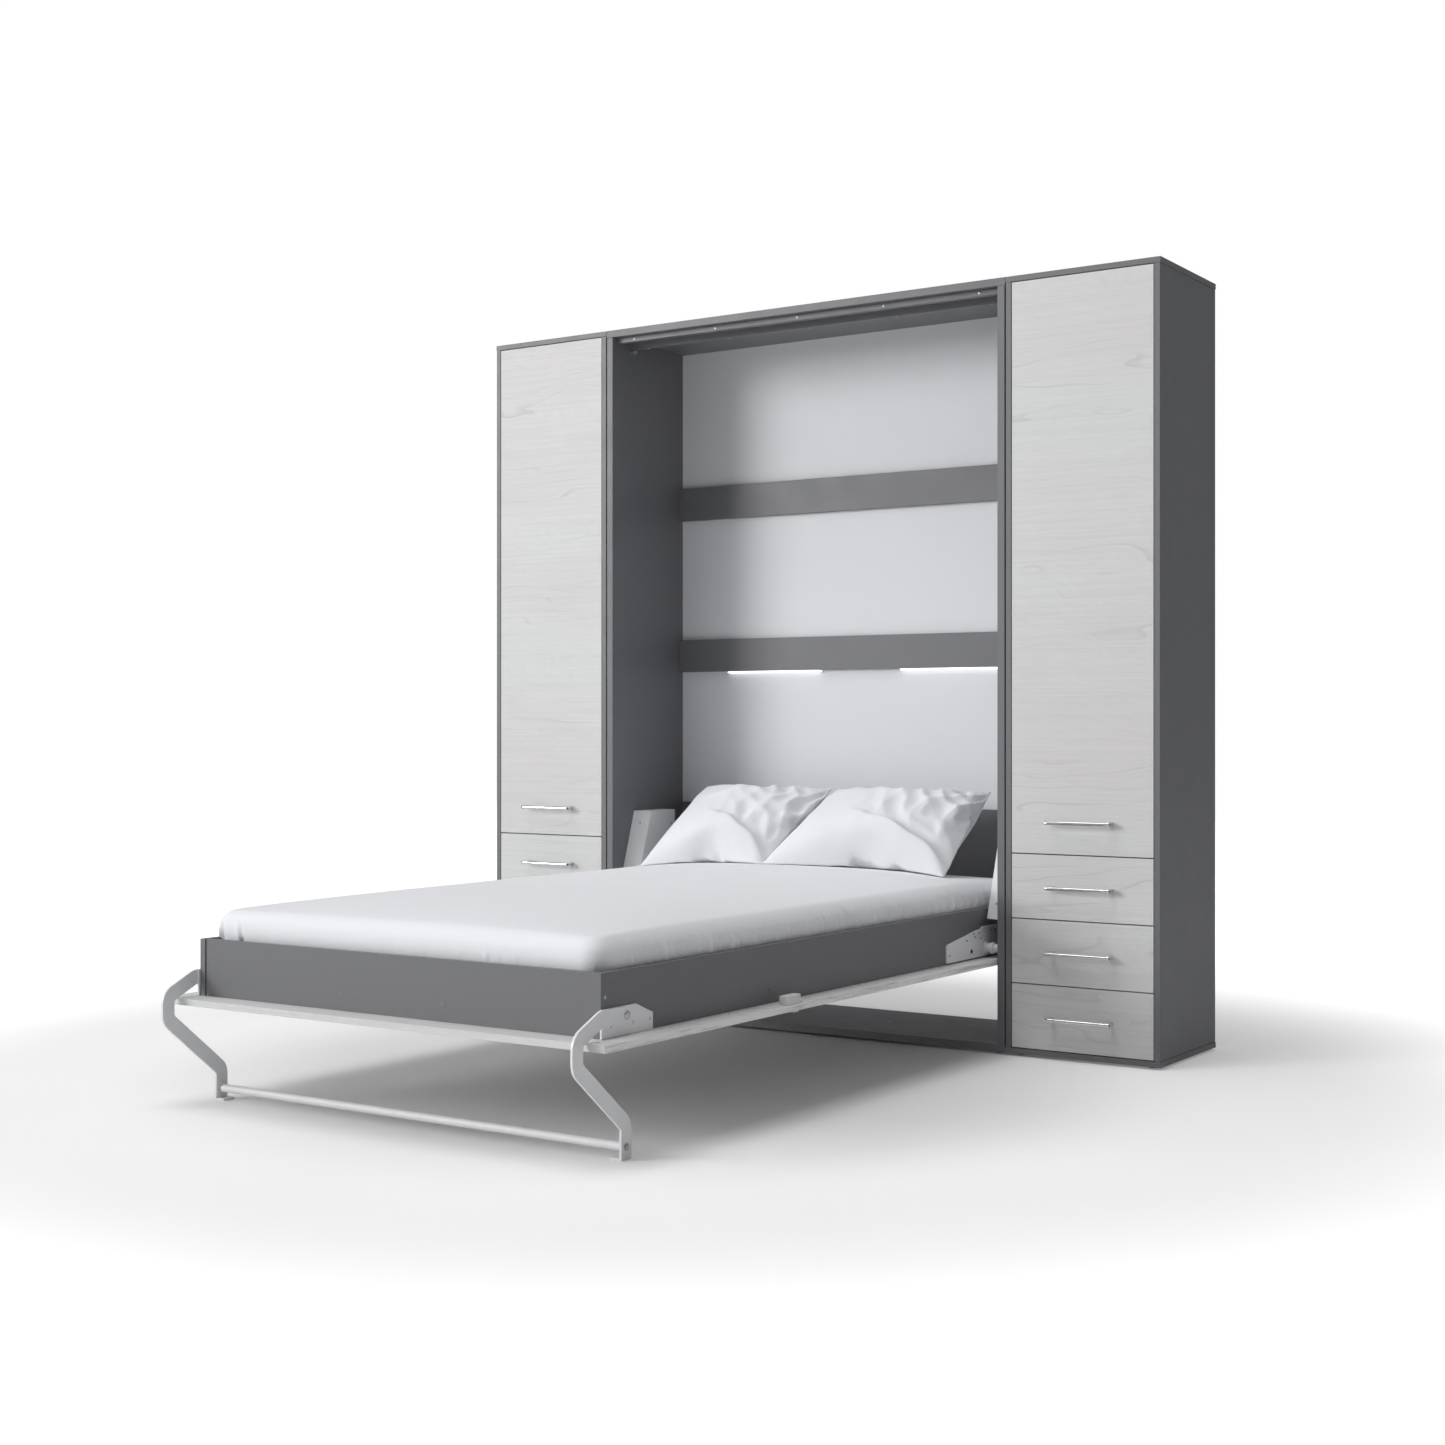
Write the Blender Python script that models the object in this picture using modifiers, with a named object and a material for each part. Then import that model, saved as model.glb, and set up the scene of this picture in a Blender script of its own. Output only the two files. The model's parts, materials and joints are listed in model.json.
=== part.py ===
"""Wall bed with two side cabinets.

Three tall modules stand side by side. The middle one is an open niche, and a bed on two pivot
pins folds up into it, with its wooden underside as the front. Each side cabinet has a door over
three drawers. The foot of the bed stands on a leg frame, which flips over as the bed closes.

The shape is modelled with y = 0 on the cabinets' front plane and +Y towards the wall. The
assembly empty then moves everything so that the origin is the middle of the outline on the floor.
"""

import math

import bmesh
import bpy
from mathutils import Matrix, Vector

# ---------------------------------------------------------------- driving dimensions, in metres
HEIGHT = 2.190
DEPTH = 0.420
MODULE_HALF = 0.703  # half the width of the bed unit
CABINET_WIDTH = 0.460
GAP = 0.0003  # between pieces that touch
REVEAL = 0.002  # top and bottom boards stand this far past the sides
FRONT_GAP = 0.0025  # round doors and drawer fronts
GLIDE = 0.006

BED_BOARD = 0.022
CABINET_BOARD = 0.016
FRONT_BOARD = 0.016
BACK_BOARD = 0.003

# The bed, lying open
PIVOT_Y = 0.043
PIVOT_Z = 0.293
PANEL_Z = PIVOT_Z - PIVOT_Y  # its underside lies flush with the cabinets when closed
PANEL_HALF = 0.676
PANEL_FOOT = -1.824
PANEL_HEAD = 0.290
FRAME_HALF = 0.617
FRAME_BOARD = 0.017
FRAME_FOOT = -1.760
FRAME_HEAD = 0.280
FRAME_TOP = 0.4057
FOOT_BOARD_INSET = 0.003  # from the frame's near end
HEAD_BOARD_INSET = 0.002  # from the frame's far end
FILLING_GAP = 0.003  # between the end boards and the slat base
MATTRESS_TOP = 0.498
MATTRESS_BASE = 0.317
MATTRESS_HALF = 0.5965
MATTRESS_GAP = 0.002  # between the slat base's ends and the mattress's
MATTRESS_EDGE = 0.020
PIN_RADIUS = 0.012
HINGE_PLATE_LOW = 0.2705

# The slat base
SLATS = 14
SLAT_HALF = 0.597  # half a slat's length
SLAT_WIDTH = 0.080
SLAT_THICK = 0.012
BATTEN_HALF = 0.015

# The pillows, and the x values of the ends of their lower and upper edges
PILLOW_REST = MATTRESS_TOP + 0.001
PILLOW_PEAK = 0.742
PILLOW_FRONT = -0.015
PILLOW_REAR = 0.288
PILLOW_LEAN = 0.150  # the front face goes this far back by the top
PILLOW_BOXY = 0.55
PILLOWS = {
    "pillow_left": ((-0.575, -0.165), (-0.500, -0.030)),
    "pillow_right": ((-0.135, 0.445), (0.005, 0.525)),
}

# The leg frame
LEG_PIVOT_Y = -1.683
LEG_PIVOT_Z = 0.310
LEG_WIDTH = 0.036
LEG_THICK = 0.006
PLATE_THICK = 0.005
LEG_BEND_RADIUS = 0.028
LEG_FOOT_Y = -1.685
TOE_LENGTH = 0.026
TOE_THICK = 0.005
CROSSBAR_Z = 0.028
CROSSBAR_RADIUS = 0.010
PLATE_SCREW_YS = (-1.732, -1.653, -1.590)
PLATE_SCREW_Z = 0.2905

# The cabinets
DRAWER_JOINTS = (0.0233, 0.2051, 0.3871, 0.5691)
SHELF_Z = 0.5691
HANDLE_LENGTH = 0.190
HANDLE_STANDOFF = 0.030
HANDLE_BAR_RADIUS = 0.006
HANDLE_POST = 0.012
POST_INSET = 0.002  # from the bar's ends
DOOR_HANDLE_ABOVE = 0.0875  # the door's lower edge
JOINT_HALF = 0.0015  # half the gap between one drawer front and the next
DRAWER_BOX_DEPTH = 0.350
DRAWER_BOX_HEIGHT = 0.115
DRAWER_BOX_LOW = 0.022  # above the front's lower edge
DRAWER_BOX_WALL = 0.012
DRAWER_BOX_BASE = 0.008
RUNNER_GAP = 0.0125  # one each side of a drawer box
CABINET_BACK_Y = 0.405
SHELF_FRONT = 0.022
GLIDE_RADIUS = 0.012
GLIDE_INSET = 0.035

# The rails across the niche
BACK_Y = 0.391
RAIL_THICK = 0.016
RAILS = {
    "upper_rail": (1.609, 1.7185),
    "light_rail": (1.1045, 1.2112),
    "headboard_rail": (0.4200, 0.6705),
}
BACK_LOW = RAILS["headboard_rail"][0]  # the niche is open behind the bed's underside

# The strips under the niche's top board, each from one y to the next: one stops the closed
# panel, the other stands behind it.
STOP_STRIP = (0.024, 0.044)
STOP_STRIP_HIGH = 0.017
REAR_STRIP = (0.0935, 0.1095)
REAR_STRIP_HIGH = 0.028

# The light strips under the middle rail, each from one x to the next
LAMPS = {"left": (-0.4886, -0.1323), "right": (0.1587, 0.5150)}
LAMP_DEPTH = 0.012
LAMP_HIGH = 0.006

# The gas springs and their covers
COVER_INNER = 0.6245  # the inner face's distance from the middle
COVER_LOW = 0.376
COVER_HIGH = 0.650
COVER_REAR = 0.268
COVER_FRONTS = {COVER_LOW: (0.026, 0.044), COVER_HIGH: (0.114, 0.137)}  # y at the outer and inner edge
COVER_SHEET = 0.0015
STRUT_X = 0.652
STRUT_FOOT = (0.110, 0.395)
STRUT_HEAD = (0.205, 0.625)
STRUT_RADIUS = 0.010
STRUT_BARREL = (0.06, 0.72)  # where the barrel starts and ends, as shares of the length
ROD_RADIUS = 0.004
EYE_RADIUS = 0.009
EYE_HALF = 0.008

# The leg bulges out past the foot, so it sets the outline's near edge.
LEG_BULGE_Y = -1.8535
FRONT_Y = (-(LEG_BULGE_Y - LEG_WIDTH / 2) - DEPTH) / 2


# ---------------------------------------------------------------- scene and materials
def clear_scene():
    for obj in list(bpy.data.objects):
        bpy.data.objects.remove(obj, do_unlink=True)


def new_collection(name):
    collection = bpy.data.collections.new(name)
    bpy.context.scene.collection.children.link(collection)
    return collection


def material(name, colour, roughness, metallic=0.0):
    made = bpy.data.materials.new(name)
    made.use_nodes = True
    shader = made.node_tree.nodes["Principled BSDF"]
    shader.inputs["Base Color"].default_value = (*colour, 1.0)
    shader.inputs["Roughness"].default_value = roughness
    shader.inputs["Metallic"].default_value = metallic
    return made


# ---------------------------------------------------------------- building blocks
def keep(obj, name, mat, parent, collection):
    """Names the object, gives it its material and puts it under its parent empty."""
    obj.name = name
    obj.data.name = name
    if mat is not None:
        obj.data.materials.clear()
        obj.data.materials.append(mat)
    for old in list(obj.users_collection):
        old.objects.unlink(obj)
    collection.objects.link(obj)
    obj.parent = parent
    obj.matrix_parent_inverse = parent.matrix_world.inverted()
    return obj


def pivot(name, location, parent=None):
    empty = bpy.data.objects.new(name, None)
    bpy.context.scene.collection.objects.link(empty)
    empty.empty_display_size = 0.05
    empty.location = location
    if parent is not None:
        empty.parent = parent
        empty.matrix_parent_inverse = parent.matrix_world.inverted()
    bpy.context.view_layer.update()
    return empty


def block(low, high):
    """A box between two corners, with its origin at its middle."""
    low, high = Vector(low), Vector(high)
    bpy.ops.mesh.primitive_cube_add(size=1, location=(low + high) / 2)
    obj = bpy.context.object
    obj.scale = high - low
    bpy.ops.object.transform_apply(location=False, rotation=False, scale=True)
    return obj


def rod(start, end, radius, sides=16):
    """A round bar from start to end."""
    start, end = Vector(start), Vector(end)
    along = end - start
    bpy.ops.mesh.primitive_cylinder_add(vertices=sides, radius=radius, depth=along.length)
    obj = bpy.context.object
    obj.location = (start + end) / 2
    obj.rotation_euler = along.to_track_quat("Z", "Y").to_euler()
    bpy.ops.object.transform_apply(location=False, rotation=True, scale=False)
    obj.data.shade_smooth()
    obj.data.set_sharp_from_angle(angle=math.radians(40))
    return obj


def ring_points(centre, radius, count=12):
    turns = [2 * math.pi * i / count for i in range(count)]
    return [(centre[0] + radius * math.cos(t), centre[1] + radius * math.sin(t)) for t in turns]


def flat_plate(outline, holes, x_low, x_high):
    """A plate in the YZ plane between two x values, as a mesh. Its outline is (y, z) points."""
    curve = bpy.data.curves.new("outline", "CURVE")
    curve.dimensions = "2D"
    curve.fill_mode = "BOTH"
    curve.extrude = (x_high - x_low) / 2
    for points in (outline, *holes):
        spline = curve.splines.new("POLY")
        spline.points.add(len(points) - 1)
        for point, (y, z) in zip(spline.points, points):
            point.co = (y, z, 0, 1)
        spline.use_cyclic_u = True
    shape = bpy.data.objects.new("outline", curve)
    bpy.context.scene.collection.objects.link(shape)
    shape.rotation_euler = (math.pi / 2, 0, math.pi / 2)  # its x and y run along Y and Z
    shape.location.x = (x_low + x_high) / 2
    return as_mesh(shape)


def as_mesh(shape):
    """The evaluated object as a plain mesh object, with its doubled points welded."""
    bpy.context.view_layer.update()
    graph = bpy.context.evaluated_depsgraph_get()
    evaluated = shape.evaluated_get(graph)
    mesh = bpy.data.meshes.new_from_object(evaluated)
    obj = bpy.data.objects.new(shape.name, mesh)
    obj.matrix_world = shape.matrix_world.copy()
    bpy.context.scene.collection.objects.link(obj)
    bpy.data.objects.remove(shape, do_unlink=True)
    work = bmesh.new()
    work.from_mesh(mesh)
    bmesh.ops.remove_doubles(work, verts=work.verts, dist=1e-5)
    bmesh.ops.recalc_face_normals(work, faces=work.faces)
    work.to_mesh(mesh)
    work.free()
    return obj


def combine(obj, others, operation):
    """Joins others to the object, or cuts them from it, with modifiers."""
    for i, other in enumerate(others):
        keep(other, f"{operation.lower()}_{len(cutters.objects)}", None, assembly, cutters)
        other.hide_render = True
        other.display_type = "WIRE"
        modifier = obj.modifiers.new(f"{operation} {i}", "BOOLEAN")
        modifier.operation = operation
        modifier.object = other


def set_origin(obj, point):
    """Moves the object's origin to a point in space, and leaves its shape where it is."""
    bpy.context.view_layer.update()
    shift = Matrix.Translation(obj.matrix_world.inverted() @ Vector(point))
    obj.data.transform(shift.inverted())
    obj.matrix_world = obj.matrix_world @ shift


def rounded_path(points, radius, steps=5):
    """The (y, z) path with each inner corner replaced by an arc of the given radius."""
    path = [Vector(points[0])]
    for before, corner, after in zip(points, points[1:], points[2:]):
        corner = Vector(corner)
        back = (Vector(before) - corner).normalized()
        on = (Vector(after) - corner).normalized()
        half = back.angle(on) / 2
        reach = radius / math.tan(half)
        centre = corner + (back + on).normalized() * radius / math.sin(half)
        start = corner + back * reach - centre
        sweep = (corner + on * reach - centre).angle_signed(start)
        path += [centre + Matrix.Rotation(sweep * i / steps, 2) @ start for i in range(steps + 1)]
    return path + [Vector(points[-1])]


def ribbon(path, width):
    """The outline of a strip of the given width whose middle follows the path from a round end."""
    away = (path[0] - path[1]).normalized() * width / 2
    cap = [path[0] + Matrix.Rotation(math.radians(turn), 2) @ away for turn in range(60, -61, -20)]
    left, right = [], []
    for i, point in enumerate(path):
        before = path[max(i - 1, 0)]
        after = path[min(i + 1, len(path) - 1)]
        along = (after - before).normalized()
        side = Vector((-along.y, along.x)) * width / 2
        left.append(point + side)
        right.append(point - side)
    return [tuple(p) for p in left + right[::-1] + cap]


# ---------------------------------------------------------------- the bed unit
def make_bed_unit():
    floor_top = GLIDE + BED_BOARD
    roof_low = HEIGHT - BED_BOARD
    outer = MODULE_HALF - REVEAL
    inner = outer - BED_BOARD
    clear = inner - GAP

    top = block((-MODULE_HALF, 0, roof_low), (MODULE_HALF, DEPTH, HEIGHT))
    keep(top, "bed_unit_top", grey_board, assembly, wall_bed)
    bottom = block((-MODULE_HALF, 0, GLIDE), (MODULE_HALF, DEPTH, floor_top))
    combine(bottom, glides(-MODULE_HALF, MODULE_HALF), "UNION")
    keep(bottom, "bed_unit_bottom", grey_board, assembly, wall_bed)
    for name, side in (("left", -1), ("right", 1)):
        xs = sorted((side * inner, side * outer))
        panel = block((xs[0], 0, floor_top + GAP), (xs[1], DEPTH, roof_low - GAP))
        keep(panel, f"bed_unit_side_{name}", grey_board, assembly, wall_bed)

    back = block((-clear, BACK_Y, BACK_LOW), (clear, BACK_Y + BACK_BOARD, roof_low - GAP))
    keep(back, "bed_unit_back", white_board, assembly, wall_bed)
    rail_back = BACK_Y - GAP
    for name, (low, high) in RAILS.items():
        rail = block((-clear, rail_back - RAIL_THICK, low), (clear, rail_back, high))
        keep(rail, name, grey_board, assembly, wall_bed)

    strips = {"panel_stop_strip": (STOP_STRIP, STOP_STRIP_HIGH), "rear_strip": (REAR_STRIP, REAR_STRIP_HIGH)}
    for name, ((near, far), high) in strips.items():
        strip = block((-clear, near, roof_low - high), (clear, far, roof_low - GAP))
        keep(strip, name, grey_board, assembly, wall_bed)

    lamp_top = RAILS["light_rail"][0] - GAP
    lamp_rear = BACK_Y - 0.0015
    for name, (start, end) in LAMPS.items():
        lamp = block((start, lamp_rear - LAMP_DEPTH, lamp_top - LAMP_HIGH), (end, lamp_rear, lamp_top))
        keep(lamp, f"led_strip_{name}", lamp_white, assembly, wall_bed)

    for name, side in (("left", -1), ("right", 1)):
        make_spring_cover(name, side, clear - 0.001)
        make_gas_strut(name, side)


def glides(x_low, x_high):
    """Round feet under a bottom board, set in from its corners."""
    count = 3 if x_high - x_low > 1 else 2
    feet = []
    for column in range(count):
        x = x_low + GLIDE_INSET + (x_high - x_low - 2 * GLIDE_INSET) * column / (count - 1)
        for y in (GLIDE_INSET, DEPTH - GLIDE_INSET):
            feet.append(rod((x, y, 0), (x, y, GLIDE + 0.002), GLIDE_RADIUS, 12))
    return feet


def make_spring_cover(name, side, at_side):
    """A sheet-metal cover, open below, behind and towards the side panel."""
    work = bmesh.new()
    corners = []
    for z, (near, far) in COVER_FRONTS.items():
        corners.append([
            work.verts.new((side * at_side, near, z)),
            work.verts.new((side * COVER_INNER, far, z)),
            work.verts.new((side * COVER_INNER, COVER_REAR, z)),
            work.verts.new((side * at_side, COVER_REAR, z)),
        ])
    bottom, top = corners
    for i in range(2):
        work.faces.new((bottom[i], bottom[i + 1], top[i + 1], top[i]))
    work.faces.new(top)
    bmesh.ops.recalc_face_normals(work, faces=work.faces)
    mesh = bpy.data.meshes.new("cover")
    work.to_mesh(mesh)
    work.free()
    obj = bpy.data.objects.new("cover", mesh)
    bpy.context.scene.collection.objects.link(obj)
    outward = mesh.polygons[1].normal.x * -side > 0
    shell = obj.modifiers.new("Sheet", "SOLIDIFY")
    shell.thickness = COVER_SHEET
    shell.offset = -1 if outward else 1
    shell.use_even_offset = True
    keep(obj, f"spring_cover_{name}", light_metal, assembly, wall_bed)


def make_gas_strut(name, side):
    """The closed gas spring under a cover: a barrel, a thinner rod and an eye at each end."""
    foot = Vector((side * STRUT_X, *STRUT_FOOT))
    head = Vector((side * STRUT_X, *STRUT_HEAD))
    start, end = (foot.lerp(head, share) for share in STRUT_BARREL)
    barrel = rod(start, end, STRUT_RADIUS, 16)
    across = Vector((EYE_HALF, 0, 0))
    parts = [
        rod(foot, head, ROD_RADIUS, 12),
        rod(foot - across, foot + across, EYE_RADIUS, 12),
        rod(head - across, head + across, EYE_RADIUS, 12),
    ]
    combine(barrel, parts, "UNION")
    keep(barrel, f"gas_strut_{name}", dark_metal, assembly, wall_bed)


# ---------------------------------------------------------------- the bed
def make_bed():
    bed = pivot("bed_fold_axis", (0, PIVOT_Y, PIVOT_Z), assembly)
    panel_top = PANEL_Z + FRONT_BOARD
    panel = block((-PANEL_HALF, PANEL_FOOT, PANEL_Z), (PANEL_HALF, PANEL_HEAD, panel_top))
    keep(panel, "bed_front_panel", pale_wood, bed, wall_bed)

    base = panel_top + GAP
    clear = FRAME_HALF - FRAME_BOARD - GAP
    for name, side in (("left", -1), ("right", 1)):
        xs = sorted((side * FRAME_HALF, side * (FRAME_HALF - FRAME_BOARD)))
        rail = block((xs[0], FRAME_FOOT, base), (xs[1], FRAME_HEAD, FRAME_TOP))
        keep(rail, f"bed_frame_side_{name}", grey_board, bed, wall_bed)
    foot_front = FRAME_FOOT + FOOT_BOARD_INSET
    foot = block((-clear, foot_front, base), (clear, foot_front + CABINET_BOARD, FRAME_TOP))
    keep(foot, "bed_foot_board", grey_board, bed, wall_bed)
    head_rear = FRAME_HEAD - HEAD_BOARD_INSET
    head = block((-clear, head_rear - CABINET_BOARD, base), (clear, head_rear, FRAME_TOP))
    keep(head, "bed_head_board", grey_board, bed, wall_bed)

    inside_foot = foot_front + CABINET_BOARD + FILLING_GAP
    inside_head = head_rear - CABINET_BOARD - FILLING_GAP
    make_slat_base(bed, base, inside_foot, inside_head)
    make_mattress(bed, inside_foot + MATTRESS_GAP, inside_head - MATTRESS_GAP)
    for name, (lower, upper) in PILLOWS.items():
        make_pillow(name, bed, lower, upper)
    for name, side in (("left", -1), ("right", 1)):
        make_hinge_plate(name, side, bed)
        make_leg_plate(name, side, bed, base)
    make_legs(bed)


def make_slat_base(bed, base, foot, head):
    """A row of slats on three battens, which stand on the panel."""
    top = MATTRESS_BASE - GAP
    slat_low = top - SLAT_THICK
    outer = SLAT_HALF - BATTEN_HALF
    battens = [block((x - BATTEN_HALF, foot, base), (x + BATTEN_HALF, head, slat_low + 0.002))
               for x in (-outer, 0, outer)]
    pitch = (head - foot - SLAT_WIDTH) / (SLATS - 1)
    starts = [foot + i * pitch for i in range(SLATS)]
    boards = [block((-SLAT_HALF, y, slat_low), (SLAT_HALF, y + SLAT_WIDTH, top)) for y in starts]
    first = battens.pop()
    combine(first, battens + boards, "UNION")
    keep(first, "slat_base", slat_wood, bed, wall_bed)


def make_mattress(bed, foot, head):
    obj = block((-MATTRESS_HALF, foot, MATTRESS_BASE), (MATTRESS_HALF, head, MATTRESS_TOP))
    corners = obj.modifiers.new("Corners", "BEVEL")
    corners.width = MATTRESS_EDGE
    corners.segments = 3
    corners.affect = "EDGES"
    obj.data.shade_smooth()
    keep(obj, "mattress", white_fabric, bed, wall_bed)


def make_pillow(name, bed, lower, upper):
    """A plump block that leans back. Its lower and its upper edge each run from one x to another."""
    bpy.ops.mesh.primitive_uv_sphere_add(segments=20, ring_count=12, radius=1)
    obj = bpy.context.object
    for vert in obj.data.vertices:
        across, back, up = ((math.copysign(abs(c) ** PILLOW_BOXY, c) + 1) / 2 for c in vert.co)
        left, right = (low + (high - low) * up for low, high in zip(lower, upper))
        near = PILLOW_FRONT + PILLOW_LEAN * up
        x = left + (right - left) * across
        y = near + (PILLOW_REAR - near) * back
        vert.co = (x, y, PILLOW_REST + (PILLOW_PEAK - PILLOW_REST) * up)
    obj.data.shade_smooth()
    keep(obj, name, white_fabric, bed, wall_bed)


def make_hinge_plate(name, side, bed):
    """The plate that carries the bed, with its pivot pin welded on, in the side panel's bush."""
    low = HINGE_PLATE_LOW
    outline = [(-0.198, low + 0.004), (-0.194, low), (0.112, low), (0.112, 0.355), (0.022, 0.355),
               (0.010, 0.3485), (-0.011, 0.348), (-0.192, 0.322), (-0.198, 0.315)]
    holes = [ring_points((-0.048, PLATE_SCREW_Z), 0.005), ring_points((-0.183, PLATE_SCREW_Z), 0.004, 8)]
    xs = sorted((side * (FRAME_HALF + GAP), side * (FRAME_HALF + GAP + PLATE_THICK)))
    plate = flat_plate(outline, holes, *xs)
    inner = MODULE_HALF - REVEAL - BED_BOARD - GAP
    root = FRAME_HALF + 0.002
    pin = rod((side * root, PIVOT_Y, PIVOT_Z), (side * inner, PIVOT_Y, PIVOT_Z), PIN_RADIUS, 24)
    combine(plate, [pin], "UNION")
    set_origin(plate, (side * inner, PIVOT_Y, PIVOT_Z))
    keep(plate, f"hinge_plate_{name}", light_metal, bed, wall_bed)


def make_leg_plate(name, side, bed, base):
    outline = [(-1.764, base + GAP), (-1.580, base + GAP), (-1.580, 0.304), (-1.641, 0.329),
               (-1.764, 0.329)]
    holes = [ring_points((y, PLATE_SCREW_Z), 0.003, 8) for y in PLATE_SCREW_YS]
    xs = sorted((side * (FRAME_HALF + GAP), side * (FRAME_HALF + GAP + PLATE_THICK)))
    plate = flat_plate(outline, holes, *xs)
    keep(plate, f"leg_plate_{name}", light_metal, bed, wall_bed)


def make_legs(bed):
    """The leg frame: two bent flat bars with turned-in feet, and a bar between them."""
    legs = pivot("leg_fold_axis", (0, LEG_PIVOT_Y, LEG_PIVOT_Z), bed)
    bends = [(LEG_PIVOT_Y, LEG_PIVOT_Z), (-1.770, 0.312), (LEG_BULGE_Y, 0.2735),
             (LEG_BULGE_Y, 0.217), (LEG_FOOT_Y, 0.0755), (LEG_FOOT_Y, 0.001)]
    outline = ribbon(rounded_path(bends, LEG_BEND_RADIUS), LEG_WIDTH)
    rivet = ring_points((LEG_PIVOT_Y, LEG_PIVOT_Z), 0.004)
    inner = FRAME_HALF + GAP + PLATE_THICK + GAP
    for name, side in (("left", -1), ("right", 1)):
        xs = sorted((side * inner, side * (inner + LEG_THICK)))
        leg = flat_plate(outline, [rivet], *xs)
        toes = sorted((side * (inner - TOE_LENGTH), side * (inner + 0.004)))
        reach = LEG_WIDTH / 2 - 0.001
        toe = block((toes[0], LEG_FOOT_Y - reach, 0), (toes[1], LEG_FOOT_Y + reach, TOE_THICK))
        combine(leg, [toe], "UNION")
        set_origin(leg, (side * inner, LEG_PIVOT_Y, LEG_PIVOT_Z))
        keep(leg, f"leg_{name}", light_metal, legs, wall_bed)
    end = inner - GAP
    bar = rod((-end, LEG_FOOT_Y, CROSSBAR_Z), (end, LEG_FOOT_Y, CROSSBAR_Z), CROSSBAR_RADIUS, 20)
    keep(bar, "leg_crossbar", light_metal, legs, wall_bed)


# ---------------------------------------------------------------- the cabinets
def make_cabinet(name, side, drawer_mesh, handle_mesh):
    """One side cabinet. It is the same on both sides, apart from where its door is hinged."""
    near = MODULE_HALF + GAP
    far = MODULE_HALF + CABINET_WIDTH
    floor_top = GLIDE + CABINET_BOARD
    roof_low = HEIGHT - CABINET_BOARD
    inner = (near + REVEAL, near + REVEAL + CABINET_BOARD)
    outer = (far - REVEAL - CABINET_BOARD, far - REVEAL)
    middle = (near + far) / 2

    def board(piece, x_range, y_range, z_range, mat=None):
        xs = sorted(side * x for x in x_range)
        obj = block((xs[0], y_range[0], z_range[0]), (xs[1], y_range[1], z_range[1]))
        return keep(obj, f"{name}_cabinet_{piece}", mat or grey_board, assembly, wall_bed)

    upright = (floor_top + GAP, roof_low - GAP)
    clear = (inner[1] + GAP, outer[0] - GAP)
    board("top", (near, far), (0, DEPTH), (roof_low, HEIGHT))
    board("inner_side", inner, (0, DEPTH), upright)
    board("outer_side", outer, (0, DEPTH), upright)
    bottom = board("bottom", (near, far), (0, DEPTH), (GLIDE, floor_top))
    combine(bottom, glides(*sorted((side * near, side * far))), "UNION")
    board("back", clear, (CABINET_BACK_Y, CABINET_BACK_Y + BACK_BOARD), upright)
    half_board = CABINET_BOARD / 2
    shelf_range = (SHELF_FRONT, CABINET_BACK_Y - GAP)
    board("shelf", clear, shelf_range, (SHELF_Z - half_board, SHELF_Z + half_board))

    # The door, on a vertical axis at its outer front edge
    edge = outer[0] - FRONT_GAP
    hinge = pivot(f"{name}_door_axis", (side * edge, 0, 0), assembly)
    xs = sorted((side * (inner[1] + FRONT_GAP), side * edge))
    door_low = DRAWER_JOINTS[-1] + JOINT_HALF
    door = block((xs[0], 0, door_low), (xs[1], FRONT_BOARD, roof_low - FRONT_GAP))
    set_origin(door, (side * edge, 0, door_low))
    keep(door, f"{name}_door", pale_wood, hinge, wall_bed)
    x = side * middle
    place_copy(handle_mesh, f"{name}_door_handle", (x, -GAP, door_low + DOOR_HANDLE_ABOVE), steel, hinge)

    for level, low in zip(("bottom", "middle", "top"), DRAWER_JOINTS):
        label = f"{name}_{level}_drawer"
        runner = pivot(f"{label}_slide", (x, 0, low), assembly)
        place_copy(drawer_mesh, label, (x, 0, low + JOINT_HALF), pale_wood, runner)
        place_copy(handle_mesh, f"{label}_handle", (x, -GAP, low + drawer_height / 2), steel, runner)


def place_copy(mesh, name, location, mat, parent):
    """A new object on a shared mesh, which gets its material with the first of them."""
    obj = bpy.data.objects.new(name, mesh)
    if not mesh.materials:
        mesh.materials.append(mat)
    wall_bed.objects.link(obj)
    obj.location = location
    obj.parent = parent
    obj.matrix_parent_inverse = parent.matrix_world.inverted()


def drawer_shape(width, height):
    """A drawer with its front at y = 0, its lower front edge at z = 0 and x = 0 at its middle."""
    half = width / 2
    box_half = (CABINET_WIDTH - 2 * REVEAL - 2 * CABINET_BOARD) / 2 - RUNNER_GAP
    low, high = DRAWER_BOX_LOW, DRAWER_BOX_LOW + DRAWER_BOX_HEIGHT
    front = block((-half, 0, 0), (half, FRONT_BOARD, height))
    rear = FRONT_BOARD + DRAWER_BOX_DEPTH
    body = block((-box_half, FRONT_BOARD - 0.004, low), (box_half, rear, high))
    inside = box_half - DRAWER_BOX_WALL
    base = low + DRAWER_BOX_BASE
    hollow = block((-inside, FRONT_BOARD, base), (inside, rear - DRAWER_BOX_WALL, high + 0.05))
    combine(front, [body], "UNION")
    combine(front, [hollow], "DIFFERENCE")
    front.name = "drawer"
    return finished_mesh(front)


def handle_shape():
    """A round bar on two square posts, which stand on y = 0."""
    half = HANDLE_LENGTH / 2
    bar_y = -HANDLE_STANDOFF
    bar = rod((-half, bar_y, 0), (half, bar_y, 0), HANDLE_BAR_RADIUS, 14)
    flat = HANDLE_POST / 2
    high = flat - 0.0003  # a little less than the bar, so that no faces coincide
    at = half - flat - POST_INSET
    posts = [block((x - flat, bar_y, -high), (x + flat, 0, high)) for x in (-at, at)]
    combine(bar, posts, "UNION")
    bar.name = "handle"
    return finished_mesh(bar)


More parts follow.
